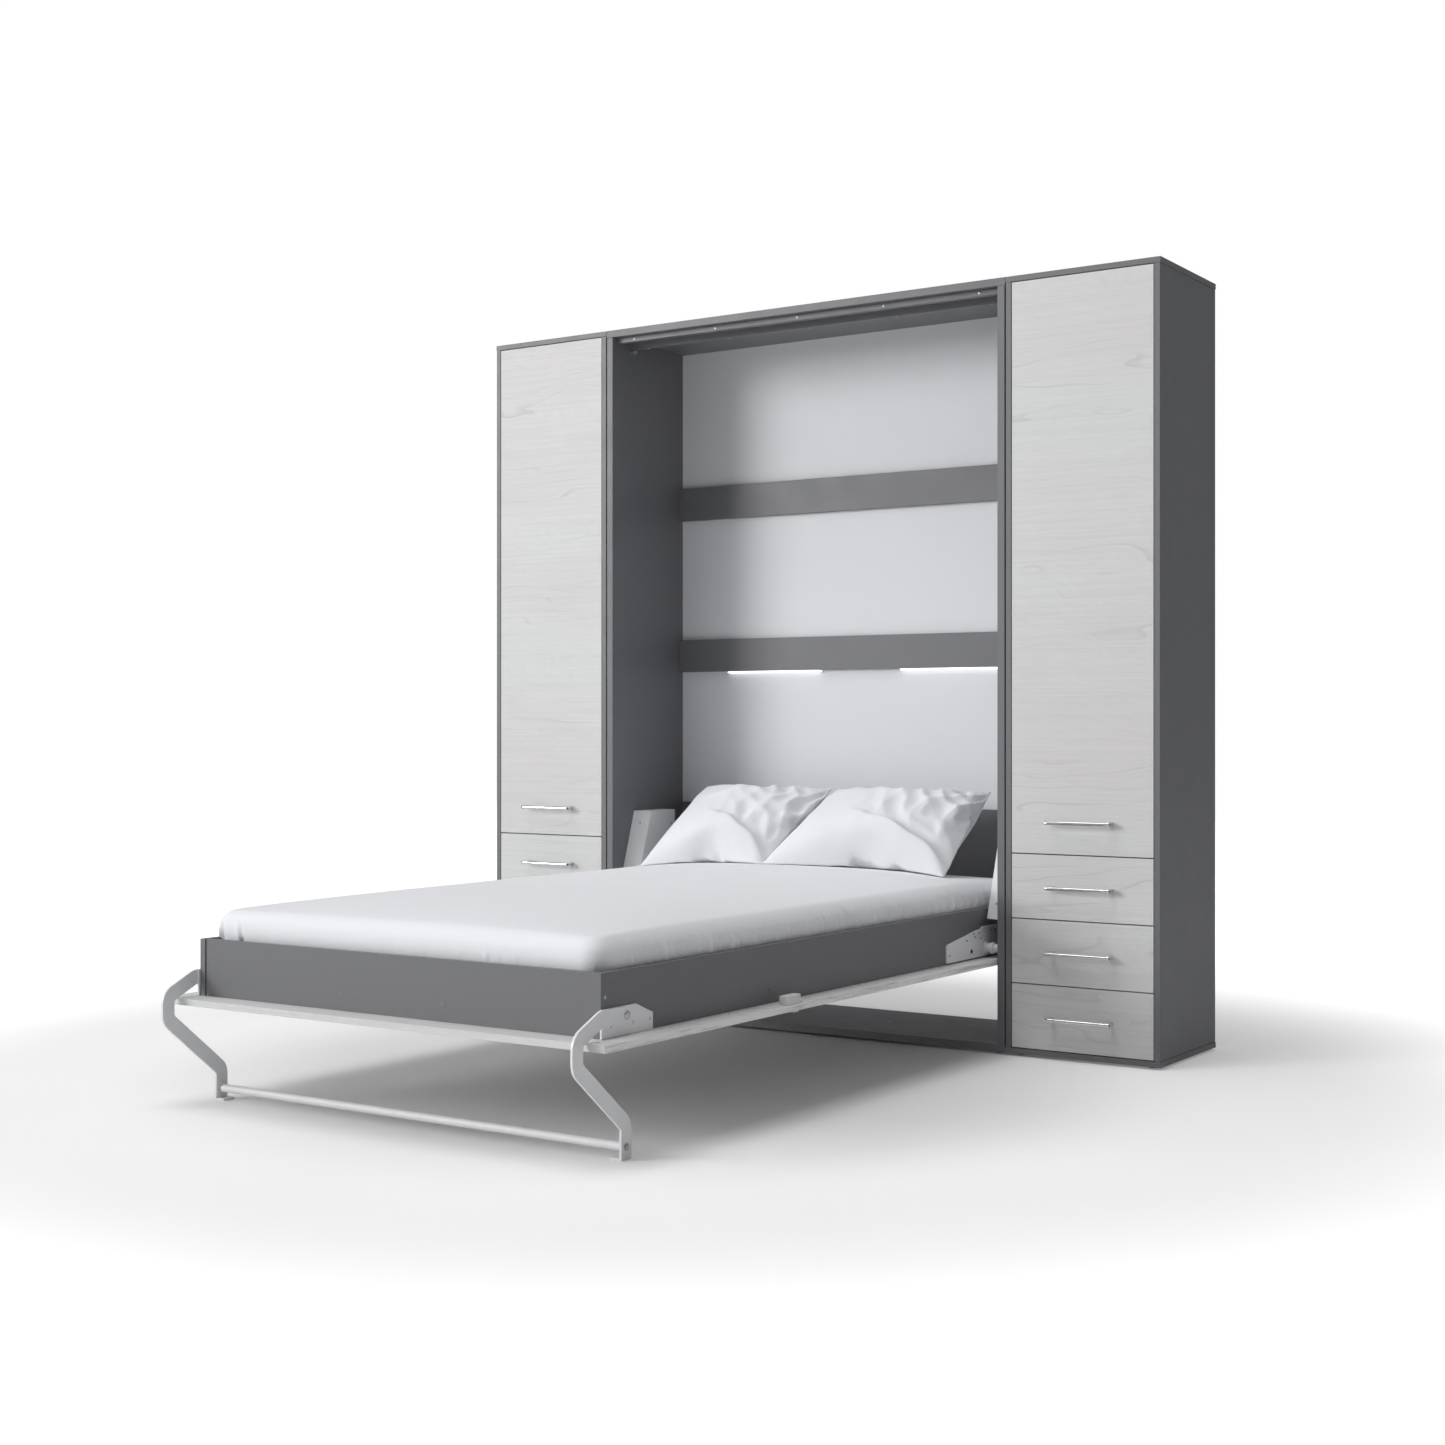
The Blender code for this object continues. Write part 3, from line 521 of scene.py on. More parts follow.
# ------------------------ fittings in the niche
# In the niche: heights above the floor, shares of the strips' length and of each rail's height.
CATCH_Z = (1.335, 1.384)
WALL_CAPS_Z = (0.75, 1.05, 1.5, 1.8)
BRACKETS_Z = (0.7, 1.95)
STRIP_SCREWS = (0.05, 0.28, 0.5, 0.72, 0.95)
RAIL_CAPS = (0.22, 0.78)


def make_niche_fittings():
    """The catch, latches, strip screws, cover caps and bottom screws of the bed unit."""
    bm = bmesh.new()
    low, high = CATCH_Z
    box(bm, (niche_half - 0.0022, front + 0.004, low), (niche_half, front + 0.032, high), 0.0008)
    a = (niche_half - 0.007, front + 0.0185, low + 0.006)
    b = (niche_half - 0.002, front + 0.029, high - 0.006)
    box(bm, a, b, 0.0015)
    for z in (low + 0.011, high - 0.011):
        screw(bm, (niche_half - 0.0022, front + 0.011, z), (-1, 0, 0), 0.0026, 0.0005, 1)
    piece("panel_catch", "carcass", bm, (white_plastic, zinc))

    strip_low, strip_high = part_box("panel_stop_strip")
    rear_low, rear_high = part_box("rear_strip")
    bm = bmesh.new()
    y = (rear_high.y + strip_high.y) / 2 + 0.032
    for _, sign in SIDES:
        wall = sign * niche_half
        a = (wall, y - 0.013, rear_low.z - 0.009)
        b = (wall - sign * 0.002, y + 0.013, rear_low.z + 0.006)
        box(bm, a, b, 0.0008)
        a = (wall - sign * 0.0015, y - 0.01, rear_low.z - 0.006)
        b = (wall - sign * 0.014, y + 0.01, rear_low.z - 0.001)
        box(bm, a, b, 0.0018)
        turned(bm, [(0.0035, 0.0), (0.0035, 0.006), (0.0025, 0.0072)],
               (wall - sign * 0.01, y, rear_low.z - 0.0062), (0, 0, -1), 24)
    piece("top_latches", "carcass", bm)

    bm = bmesh.new()
    for share in STRIP_SCREWS:
        x = strip_low.x + share * (strip_high.x - strip_low.x)
        screw(bm, (x, strip_low.y, (strip_low.z + strip_high.z) / 2), (0, -1, 0), 0.0036, 0.0014)
        screw(bm, (x, (rear_low.y + rear_high.y) / 2, rear_low.z), (0, 0, -1), 0.0036, 0.0014)
    piece("strip_screws", "carcass", bm)

    bm = bmesh.new()
    for name in ("upper_rail", "light_rail", "headboard_rail"):
        low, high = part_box(name)
        for _, sign in SIDES:
            for share in RAIL_CAPS:
                z = low.z + share * (high.z - low.z)
                cap(bm, (sign * (high.x - 0.032), low.y, z), (0, -1, 0), 0.0062, 0.001)
    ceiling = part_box("bed_unit_top")[0].z
    for _, sign in SIDES:
        for y in (front + 0.16, front + 0.34):
            cap(bm, (sign * (niche_half - 0.036), y, ceiling), (0, 0, -1), 0.007, 0.001)
    piece("niche_caps", "carcass", bm, (grey_plastic,))

    bm = bmesh.new()
    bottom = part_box("bed_unit_bottom")[1].z
    for _, sign in SIDES:
        screw(bm, (sign * 0.2235, front + 0.191, bottom), (0, 0, 1), 0.0042, 0.0014, 2)
    for _, sign in SIDES:
        for z in WALL_CAPS_Z:
            cap(bm, (sign * niche_half, front + 0.3, z), (-sign, 0, 0), 0.005, 0.0009, 1)
    piece("carcass_screws", "carcass", bm, looks=(zinc, grey_plastic, white_plastic))


def make_back_fittings():
    """Panel pins round the thin backs, and the steel brackets that fix the unit to a wall."""
    bm = bmesh.new()
    for name in ("bed_unit_back", "left_cabinet_back", "right_cabinet_back"):
        low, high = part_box(name)
        across = max(3, round((high.x - low.x) / 0.14))
        upward = round((high.z - low.z) / 0.15)
        spots = [(low.x + 0.01 + (high.x - low.x - 0.02) * k / across, z)
                 for k in range(across + 1) for z in (low.z + 0.009, high.z - 0.009)]
        spots += [(x, low.z + 0.009 + (high.z - low.z - 0.018) * k / upward)
                  for k in range(1, upward) for x in (low.x + 0.01, high.x - 0.01)]
        for x, z in spots:
            head = [(0.0026, -0.0002), (0.0026, 0.0005), (0.0016, 0.0009)]
            turned(bm, head, (x, high.y, z), (0, 1, 0), 12)
    piece("back_pins", "carcass", bm)

    bm = bmesh.new()
    wall_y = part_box("bed_unit_top")[1].y
    y0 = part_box("bed_unit_back")[1].y + 0.001
    for _, sign in SIDES:
        for z in BRACKETS_Z:
            for low_in, low_y, high_in, high_y in ((0.0, y0, 0.002, wall_y - 0.001),
                                                   (0.001, wall_y - 0.003, 0.034, wall_y - 0.001)):
                a = (sign * (niche_half - low_in), low_y, z)
                b = (sign * (niche_half - high_in), high_y, z + 0.06)
                box(bm, a, b, 0.0006)
            for dz in (0.016, 0.044):
                spot = (sign * (niche_half - 0.002), (y0 + wall_y) / 2, z + dz)
                screw(bm, spot, (-sign, 0, 0), 0.0036, 0.0014)
            rings = [(0.0052, -0.0022), (0.0052, 0.0003), (0.0042, 0.0003), (0.0042, -0.0023)]
            turned(bm, rings, (sign * (niche_half - 0.02), wall_y - 0.001, z + 0.03), (0, 1, 0), 24, 1)
    piece("wall_brackets", "carcass", bm, looks=(zinc, dark_plastic))


def make_light_strip(side):
    """An aluminium channel with a glowing frosted cover and two end caps."""
    low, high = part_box(f"led_strip_{side}")
    bm = bmesh.new()
    lip = 0.0012
    box(bm, (low.x + 0.003, low.y, high.z - lip), (high.x - 0.003, high.y, high.z), 0.0002, 1)
    box(bm, (low.x + 0.003, high.y - lip, low.z + 0.001), (high.x - 0.003, high.y, high.z), 0.0002, 1)
    box(bm, (low.x + 0.003, low.y + 0.0004, low.z), (high.x - 0.003, high.y - lip, high.z - lip), 0.0012, 0)
    for x0, x1 in ((low.x, low.x + 0.0034), (high.x - 0.0034, high.x)):
        box(bm, (x0, low.y, low.z), (x1, high.y, high.z), 0.0006, 2)
    looks = (diffuser, zinc, grey_plastic)
    piece(f"light_strip_{side}", "carcass", bm, looks, (f"led_strip_{side}",))


def make_spring_fittings(side, sign):
    """The gas spring's barrel, rod and eyes, and the screws of the cover over it."""
    low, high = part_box(f"gas_strut_{side}")
    eye = 0.009
    x = (low.x + high.x) / 2
    foot, head = Vector((x, low.y + eye, low.z + eye)), Vector((x, high.y - eye, high.z - eye))
    along = head - foot
    length = along.length
    bm = bmesh.new()
    barrel = [(0.007, 0.01), (0.0092, 0.013), (0.01, 0.016), (0.01, length * 0.68),
              (0.0094, length * 0.7), (0.006, length * 0.715)]
    turned(bm, barrel, foot, along, 40, 0)
    turned(bm, [(0.004, length * 0.7), (0.004, length - 0.012)], foot, along, 32, 1)
    turned(bm, [(0.0055, length - 0.022), (0.0055, length - 0.007)], foot, along, 6, 2)
    turned(bm, [(0.0055, 0.006), (0.0055, 0.014)], foot, along, 6, 2)
    for centre in (foot, head):
        rings = [(0.007, -0.0055), (0.0086, -0.0045), (0.0088, 0.0), (0.0086, 0.0045), (0.007, 0.0055)]
        turned(bm, rings, centre, (1, 0, 0), 32, 2)
        turned(bm, [(0.004, -0.0095), (0.004, 0.0095)], centre, (1, 0, 0), 24, 1)
    looks = (black_metal, chrome, dark_plastic)
    piece(f"gas_spring_{side}", "carcass", bm, looks, (f"gas_strut_{side}",))

    low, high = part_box(f"spring_cover_{side}")
    inner = low.x if sign > 0 else high.x
    bm = bmesh.new()
    slant = Vector((-sign * 0.38, -1, 0.34))  # the way the cover's front leans
    for share in (0.16, 0.86):
        z = low.z + share * (high.z - low.z)
        screw(bm, (sign * 0.652, low.y + 0.0088 + share * 0.0905, z), slant, 0.0036, 0.0014)
    for z in (low.z + 0.045, high.z - 0.045):
        screw(bm, (inner, high.y - 0.022, z), (-sign, 0, 0), 0.0036, 0.0014)
    piece(f"spring_cover_screws_{side}", "carcass", bm)


def make_pivot_bush(side, sign):
    """The flanged bush in the side panel that carries the bed's pin."""
    wall = sign * niche_half
    rings = [(0.021, 0.0004), (0.0215, 0.0016), (0.02, 0.003), (0.0152, 0.0034), (0.0148, 0.008),
             (0.0138, 0.0088), (0.0126, 0.0088)]
    bm = bmesh.new()
    turned(bm, rings, (wall, bed_pivot.y, bed_pivot.z), (-sign, 0, 0), 48)
    for k in range(3):
        angle = math.radians(90 + 120 * k)
        y, z = bed_pivot.y + 0.0178 * math.cos(angle), bed_pivot.z + 0.0178 * math.sin(angle)
        centre = (wall - sign * 0.0026, y, z)
        screw(bm, centre, (-sign, 0, 0), 0.002, 0.0008, 1)
    piece(f"pivot_bush_{side}", "carcass", bm, (metal, zinc))


# ------------------------ fittings on the bed
# On the bed: rivets from the pivot, faces and caps in x and z, and distances before the cupboards.
HINGE_RIVETS = ((-0.12, 0.03), (-0.07, 0.036), (-0.046, 0.046), (-0.078, 0.046), (-0.034, 0.03),
                (0.03, 0.048), (0.056, 0.048))
LEG_PLATE_FACE = 0.6223
LEG_PLATE_SCREWS = (1.732, 1.653, 1.59)
FRAME_SCREWS = (1.1, 0.62)
CLIP = (1.111, 1.033)
PANEL_SCREWS = (1.796, 1.3, 0.7, 0.2)
FOOT_CAPS_X, FOOT_CAPS_Z = (-0.145, 0.17), 0.303


def make_hinge_plate_fittings(side, sign):
    """The pin's collar, and the rivets, screws and plug of a hinge plate."""
    face = sign * (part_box("hinge_plate_right")[0].x + 0.005)
    out = (sign, 0, 0)

    def spot(dy, dz):
        return face, bed_pivot.y + dy, bed_pivot.z + dz

    bm = bmesh.new()
    collar = [(0.0178, 0.0002), (0.018, 0.004), (0.0172, 0.0052), (0.0136, 0.0056), (0.0134, 0.018),
              (0.0165, 0.0186), (0.0168, 0.026), (0.016, 0.027), (0.0126, 0.0272)]
    turned(bm, collar, spot(0, 0), out, 48)
    rivet = [(0.0026, -0.0002), (0.0026, 0.0006), (0.0018, 0.0012)]
    for dy, dz in HINGE_RIVETS:
        turned(bm, rivet, spot(dy, dz), out, 20, 2)
    screw(bm, spot(0.057, -0.004), out, 0.0042, 0.0018, 1)
    screw(bm, spot(-0.226, -0.0025), out, 0.004, 0.0018, 1)
    plug = [(0.0062, -0.004), (0.0062, 0.0004), (0.0048, 0.0004), (0.0048, -0.0042)]
    turned(bm, plug, spot(-0.091, -0.0025), out, 32, 2)
    piece(f"hinge_plate_fittings_{side}", "bed", bm, (metal, zinc, dark_plastic))


def make_leg_plate_screws(side, sign):
    """Flat screws in a leg plate, which the leg passes, and the frame's own screws."""
    bm = bmesh.new()
    for before in LEG_PLATE_SCREWS:
        screw(bm, (sign * LEG_PLATE_FACE, front - before, 0.2905), (sign, 0, 0), 0.004, 0.0002, 1)
    screw(bm, (sign * frame_high.x, front - 1.746, 0.354), (sign, 0, 0), 0.0042, 0.0014, 1)
    for before in FRAME_SCREWS:
        screw(bm, (sign * frame_high.x, front - before, 0.3), (sign, 0, 0), 0.0036, 0.001)
    piece(f"leg_plate_screws_{side}", "bed", bm, looks=(grey_plastic, zinc))


def make_panel_clip(side, sign):
    """A plastic clip over the panel's edge: a high block, a low ear with its screw, and a lip below."""
    bm = bmesh.new()
    rim, top = sign * panel_high.x, panel_high.z
    y0, y1 = front - CLIP[0], front - CLIP[1]
    blocks = (((0.024, y0, top), (0.0015, y1 - 0.016, top + 0.022), 0.0018),
              ((0.02, y1 - 0.018, top), (0.0048, y1, top + 0.007), 0.0012),
              ((0.018, y0 + 0.03, panel_low.z - 0.0035), (0.0015, y0 + 0.052, panel_low.z), 0.001))
    for (in_a, near, low_z), (in_b, far, high_z), edge in blocks:
        box(bm, (rim - sign * in_a, near, low_z), (rim - sign * in_b, far, high_z), edge)
    screw(bm, (rim - sign * 0.011, y1 - 0.008, top + 0.007), (0, 0, 1), 0.0034, 0.0012, 1)
    piece(f"panel_clip_{side}", "bed", bm, (white_plastic, zinc))


def make_foot_and_panel_fittings():
    """Two ringed caps on the foot board, and the screws along the panel's inner edges."""
    bm = bmesh.new()
    foot_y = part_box("bed_foot_board")[0].y
    ring = [(0.0078, -0.0002), (0.008, 0.0004), (0.0062, 0.0007), (0.006, 0.0003)]
    for x in FOOT_CAPS_X:
        turned(bm, ring, (x, foot_y, FOOT_CAPS_Z), (0, -1, 0))
        cap(bm, (x, foot_y, FOOT_CAPS_Z), (0, -1, 0), 0.0044, 0.0008)
    piece("foot_board_caps", "bed", bm, (grey_plastic,))

    bm = bmesh.new()
    for _, sign in SIDES:
        for before in PANEL_SCREWS:
            screw(bm, (sign * 0.636, front - before, panel_high.z), (0, 0, 1), 0.0032, 0.001)
    piece("panel_screws", "bed", bm)


def make_leg_fittings():
    """Pivot rivets, and the bolts at the crossbar's ends."""
    bar_low, bar_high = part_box("leg_crossbar")
    bar_y, bar_z = (bar_low.y + bar_high.y) / 2, (bar_low.z + bar_high.z) / 2
    rivet = [(0.0098, -0.0002), (0.01, 0.0008), (0.009, 0.0024), (0.006, 0.0034), (0.003, 0.0036)]
    bm = bmesh.new()
    for _, sign in SIDES:
        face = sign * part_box("leg_right")[1].x
        turned(bm, rivet, (face, leg_pivot.y, leg_pivot.z), (sign, 0, 0), 40)
        bolt = [(0.0065, -0.0002), (0.0065, 0.003), (0.0055, 0.0036)]
        turned(bm, bolt, (face, bar_y, bar_z), (sign, 0, 0), 6)
        turned(bm, [(0.009, -0.0002), (0.0092, 0.0008)], (face, bar_y, bar_z), (sign, 0, 0))
    piece("leg_rivets", "leg_frame", bm)


# ------------------------ the mattress and its sheet
def ramp(value):
    """value, kept between 0 and 1."""
    return max(0.0, min(1.0, value))


def hill(distance, width):
    """A smooth hill of height 1 at distance 0."""
    return math.exp(-(distance / width) ** 2)


EDGE_ROUND = 0.038
CORNER_ROUND = 0.06
OVERHANG = 0.004  # the mattress swells this far over the frame's rim
TUCK_Z = 0.362
CROWN = 0.036
EDGE_TOP = 0.475
SIDE_SHARE = 0.31  # how much of the way round one long side takes


def outline_point(share, inset):
    """A point of the mattress's outline, share of the way round it, and its outward direction."""
    half_x = mattress_high.x + OVERHANG - inset
    y0, y1 = mattress_low.y - OVERHANG + inset, mattress_high.y + OVERHANG - inset
    half_y, middle_y = (y1 - y0) / 2, (y0 + y1) / 2
    r = max(CORNER_ROUND - inset, 0.012)
    straight_x, straight_y = 2 * (half_x - r), 2 * (half_y - r)
    corner = r * math.pi / 2
    runs = (straight_y, corner, straight_x, corner, straight_y, corner, straight_x, corner)
    distance = share % 1.0 * sum(runs)
    k = 0
    while distance > runs[k]:
        distance -= runs[k]
        k += 1
    quarter = k // 2
    turn = Matrix.Rotation(quarter * math.pi / 2, 2)
    along_y, along_x = (half_y, half_x) if quarter % 2 == 0 else (half_x, half_y)
    if k % 2 == 0:
        local, out = Vector((along_x, -along_y + r + distance)), Vector((1, 0))
    else:
        angle = distance / r
        out = Vector((math.cos(angle), math.sin(angle)))
        local = Vector((along_x - r, along_y - r)) + r * out
    return turn @ local + Vector((0, middle_y)), turn @ out


def top_height(x, y):
    """The height of the made bed, crowned, with faint hollows."""
    middle = (mattress_low.y + mattress_high.y) / 2
    u = min(abs(x) / mattress_high.x, 1.0)
    v = min(abs(y - middle) / (mattress_high.y - middle), 1.0)
    soft = noise.noise(Vector((x * 3.1, y * 3.1, 0.7))) * 0.0018
    return EDGE_TOP + CROWN * (1 - u ** 3) * (1 - v ** 6) + soft


def bed_cover(columns, inner, hem_z):
    """Rings of points from the hem up the side, over the rounded edge and in to the middle."""
    bm = bmesh.new()
    side_rows = ((0.006, hem_z), (0.006, 0.39), (0.0055, 0.402), (0.003, 0.412), (0.001, 0.422), (0.0, 0.43))
    rows = [(inset, z, 0) for inset, z in side_rows]
    for step in range(1, 9):
        angle = step / 8 * math.pi / 2
        rows.append((EDGE_ROUND * (1 - math.cos(angle)), -EDGE_ROUND * (1 - math.sin(angle)) - inner, 1))
    loops = []
    for inset, z, crowned in rows:
        points = [outline_point((k + 0.5) / columns, inset + inner)[0] for k in range(columns)]
        loops.append([bm.verts.new((p.x, p.y, z + crowned * top_height(p.x, p.y))) for p in points])
    last = [v.co.copy() for v in loops[-1]]
    centre = Vector((0, (mattress_low.y + mattress_high.y) / 2, 0))
    count, steps = columns, 44
    for step in range(1, steps + 1):
        scale = 1 - 0.985 * step / steps
        if step in (3, 10, 20, 32, 40) and count >= 128:
            count //= 2
        stride = columns // count
        points = [centre + (last[k * stride] - centre) * scale for k in range(count)]
        loops.append([bm.verts.new((p.x, p.y, top_height(p.x, p.y) - inner)) for p in points])
    for low, high in zip(loops, loops[1:]):
        n = len(high)
        for k in range(n):
            if len(low) == n:
                bm.faces.new((low[k], low[(k + 1) % n], high[(k + 1) % n], high[k]))
            else:
                a, b, c = low[2 * k], low[2 * k + 1], low[(2 * k + 2) % len(low)]
                bm.faces.new((a, b, high[k]))
                bm.faces.new((b, c, high[(k + 1) % n], high[k]))
    bm.faces.new(loops[-1])
    return bm, loops


def pleats():
    """Seeded pleats round the sheet's sides: (place round the hem, slant, width, depth, height)."""
    dice = random.Random(11)
    found, at = [], 0.0
    while at < 1.0:
        along_side = at < SIDE_SHARE or 0.5 < at < 0.5 + SIDE_SHARE
        if along_side:
            towards_head = at / SIDE_SHARE if at < 0.5 else 1 - (at - 0.5) / SIDE_SHARE
            at += dice.uniform(0.0035, 0.0115) * (1.25 - 0.5 * towards_head)
            found.append((at, dice.uniform(-0.45, -0.05), dice.uniform(0.0042, 0.0066),
                          dice.uniform(0.007, 0.0125), dice.uniform(0.045, 0.085)))
        else:
            at += dice.uniform(0.0035, 0.015)
            strength = 1.0 if at > 0.9 else 0.4
            found.append((at, dice.uniform(-0.5, 0.5), dice.uniform(0.0035, 0.007),
                          strength * dice.uniform(0.0004, 0.0018), dice.uniform(0.012, 0.045)))
    return found


def make_mattress():
    """The foam core, and a fitted sheet stretched over it with gathers along its tucked sides."""
    bm, loops = bed_cover(256, 0.002, mattress_low.z + 0.002)
    bm.faces.new(loops[0][::-1])
    core = piece("mattress_core", "bed", bm, (cotton,), ("mattress",), 60)

    columns = 2048
    bm, loops = bed_cover(columns, 0.0, TUCK_Z)
    round_length = 2 * (2 * mattress_high.x + mattress_high.y - mattress_low.y)
    rim = frame_high.z
    folds = pleats()
    for row, loop in enumerate(loops[:13]):
        for k, vertex in enumerate(loop):
            share = (k + 0.5) / columns
            out = outline_point(share, 0.0)[1]
            rise = vertex.co.z - rim
            push = 0.0
            for at, slant, width, depth, height in folds:
                gap = ((share - at + 0.5) % 1.0 - 0.5) * round_length - slant * rise
                if abs(gap) > 5 * width:
                    continue
                fade = 0.0 if rise < 0 else ramp(1.0 - rise / height)
                push += depth * fade * (hill(gap, width) - 0.55 * hill(gap - 1.7 * width, width))
            swell = noise.noise(Vector((share * 140, row * 0.12, 3.3))) * 0.001
            push += swell * ramp(1.0 - rise / 0.07)
            vertex.co.x += out.x * push
            vertex.co.y += out.y * push
    sheet = piece("fitted_sheet", "bed", bm, (cotton,), (), 60)


# ------------------------ the pillows
CLOTH_FRAMES = 24
CLOTH = {"quality": 8, "mass": 0.25, "tension_stiffness": 20.0, "compression_stiffness": 20.0,
         "shear_stiffness": 8.0, "bending_stiffness": 5.0, "tension_damping": 8, "compression_damping": 8,
         "use_pressure": True, "uniform_pressure_force": 3.4}
LONGEST_MOVE = 0.13


def simulate(obj):
    """Blows obj up as cloth and keeps that shape, with no point moved by more than LONGEST_MOVE."""
    before = [v.co.copy() for v in obj.data.vertices]
    cloth = obj.modifiers.new("Cloth", "CLOTH")
    for key, value in CLOTH.items():
        setattr(cloth.settings, key, value)
    cloth.settings.effector_weights.gravity = 0
    cloth.collision_settings.use_collision = False
    cloth.point_cache.frame_start = 1
    cloth.point_cache.frame_end = CLOTH_FRAMES
    for number in range(1, CLOTH_FRAMES + 1):
        scene.frame_set(number)
    shape = obj.evaluated_get(bpy.context.evaluated_depsgraph_get()).data
    after = [v.co.copy() for v in shape.vertices]
    obj.modifiers.remove(cloth)
    for vertex, old, new in zip(obj.data.vertices, before, after):
        move = new - old
        if move.length > LONGEST_MOVE:
            move *= LONGEST_MOVE / move.length
        vertex.co = old + move
    scene.frame_set(1)


PILLOW_CELL = 0.0075
PILLOW_GROW = 1.1
PILLOW_SAG = 1.16  # how much further down the filling settles


def make_pillow(side, corners, seed):
    """A soft pillow leaning on the headboard, from a sewn bag of two layers."""
    corners = [Vector(c) for c in corners]
    centre = sum(corners, Vector()) / 4
    low_left, low_right, top_left, top_right = [centre + (c - centre) * PILLOW_GROW for c in corners]
    across, up = (low_right - low_left), (top_left - low_left)
    out = across.cross(up).normalized()
    nu, nv = round(across.length / PILLOW_CELL), round(up.length / PILLOW_CELL)
    bm = bmesh.new()
    layers, marks = [], []
    for face in (1, -1):
        grid = {}
        for i in range(nu + 1):
            for j in range(nv + 1):
                u, v = i / nu, j / nv
                edge = i in (0, nu) or j in (0, nv)
                if face < 0 and edge:
                    grid[i, j] = layers[0][i, j]
                    continue
                low, high = low_left.lerp(low_right, u), top_left.lerp(top_right, u)
                thick = 0.03 * (math.sin(math.pi * u) * math.sin(math.pi * v)) ** 0.5 * face
                rough = noise.noise(Vector((u * 9 + seed, v * 9, face * 2.0))) * 0.002
                grid[i, j] = bm.verts.new(low.lerp(high, v) + out * (thick + (0 if edge else rough)))
                marks.append((u, v, 0 if edge else face))
        layers.append(grid)
        for i in range(nu):
            for j in range(nv):
                quad = [grid[i, j], grid[i + 1, j], grid[i + 1, j + 1], grid[i, j + 1]]
                bm.faces.new(quad if face > 0 else quad[::-1])
    obj = piece(f"pillow_{side}_soft", "bed", bm, (cotton,), (f"pillow_{side}",), 70)
    simulate(obj)
    calm_pillow(obj, marks)
    crease_pillow(obj, marks, out, seed)
    settle_pillow(obj, top_left.z)
    smooth = obj.modifiers.new("Smooth", "SUBSURF")
    smooth.levels = smooth.render_levels = 1
    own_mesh(obj)


def calm_pillow(obj, marks):
    """Smooths the wrinkles out of the front's lower part."""
    mesh = obj.data
    near = [[] for _ in mesh.vertices]
    for edge in mesh.edges:
        a, b = edge.vertices
        near[a].append(b)
        near[b].append(a)
    share = []
    for u, v, face in marks:
        calm = 0.8 - 0.3 * ramp((u - 0.4) / 0.25)
        held = min(1.0, 6 * u, 6 * (1 - u))
        share.append(0.6 * held * ramp((calm - v) / 0.25) if face > 0 or v < 0.01 else 0.0)
    for _ in range(60):
        places = [v.co.copy() for v in mesh.vertices]
        for k, vertex in enumerate(mesh.vertices):
            if share[k]:
                middle = sum((places[n] for n in near[k]), Vector()) / len(near[k])
                vertex.co = places[k].lerp(middle, share[k])


def crease_pillow(obj, marks, out, seed):
    """Folds the front along a curve from its middle to its right edge, and crumples the part beyond."""
    for vertex, (u, v, face) in zip(obj.data.vertices, marks):
        if face <= 0:
            continue
        run = (u - 0.44) / 0.56
        bend = max(run, -0.4)
        fold = 0.44 - 0.2 * bend - 0.13 * max(bend, 0.0) ** 3
        steep = 0.2 + 0.39 * max(bend, 0.0) ** 2
        past = (v - fold) * 0.33 / math.sqrt(1 + steep * steep) + 0.003 * math.sin(16 * run + seed)
        reach = ramp((run + 0.12) / 0.5) * min(1.0, 14 * (1 - u)) * min(1.0, 8 * (1 - v))
        step = ramp((past + 0.005) / 0.014)
        step *= step * (3 - 2 * step)
        lift = 0.0115 * math.exp(min(past, 0.0) / 0.05) * (1 - step)
        sink = 0.0145 * math.exp(-max(past, 0.0) / 0.08) * step
        top_hem, side_hem = min(1.0, 9 * (1 - v)), min(1.0, 9 * (1 - u))
        tip = Vector((1.0, 1.0)) - Vector((u, v))
        angle, far = math.atan2(tip.y, tip.x), tip.length
        gather = ramp(past / 0.03) * min(1.0, far / 0.06) * math.exp(-far / 0.45) * top_hem
        turn = 9.5 * angle + 1.6 * math.sin(7 * far + seed) + seed
        ridge = 1 - 2 * abs(math.sin(turn)) ** 0.7
        ruffle = math.sin(25 * angle + 9 * far) * hill(far - 0.16, 0.07)
        crumple = 0.18 - abs(noise.noise(Vector((u * 8.0 + 3 * v, v * 5.5 - 2 * u, seed + 2.0))))
        crumple *= ramp(past / 0.04) * min(1.0, 7 * (1 - v)) * side_hem * reach
        crease = hill(u - 0.46 - 0.04 * math.sin(5 * v + seed), 0.022) * hill(v - 0.45, 0.22)
        rise = (lift - sink) * reach + 0.0125 * ridge * gather + 0.02 * crumple
        rise += 0.0085 * ruffle * top_hem * side_hem + 0.0028 * crease
        vertex.co += out * rise


def settle_pillow(obj, top):
    """Lets the filling sink onto the sheet, and keeps the pillow off the headboard."""
    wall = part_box("headboard_rail")[0].y - 0.088
    for vertex in obj.data.vertices:
        p = vertex.co
        p.z = top - (top - p.z) * PILLOW_SAG if p.z < top else p.z
        floor = top_height(p.x, p.y) + 0.001
        if p.z < floor + 0.01:
            p.z = floor + 0.01 * math.exp((p.z - floor - 0.01) / 0.01)
        if p.y > wall - 0.02:
            p.y = wall - 0.02 * math.exp((wall - 0.02 - p.y) / 0.02)


PILLOWS = {
    "left": ((-0.57, 0.0, 0.515), (-0.13, 0.02, 0.52), (-0.49, 0.265, 0.725), (-0.035, 0.265, 0.725)),
    "right": ((-0.13, 0.0, 0.515), (0.49, 0.03, 0.522), (0.01, 0.265, 0.725), (0.515, 0.265, 0.725)),
}


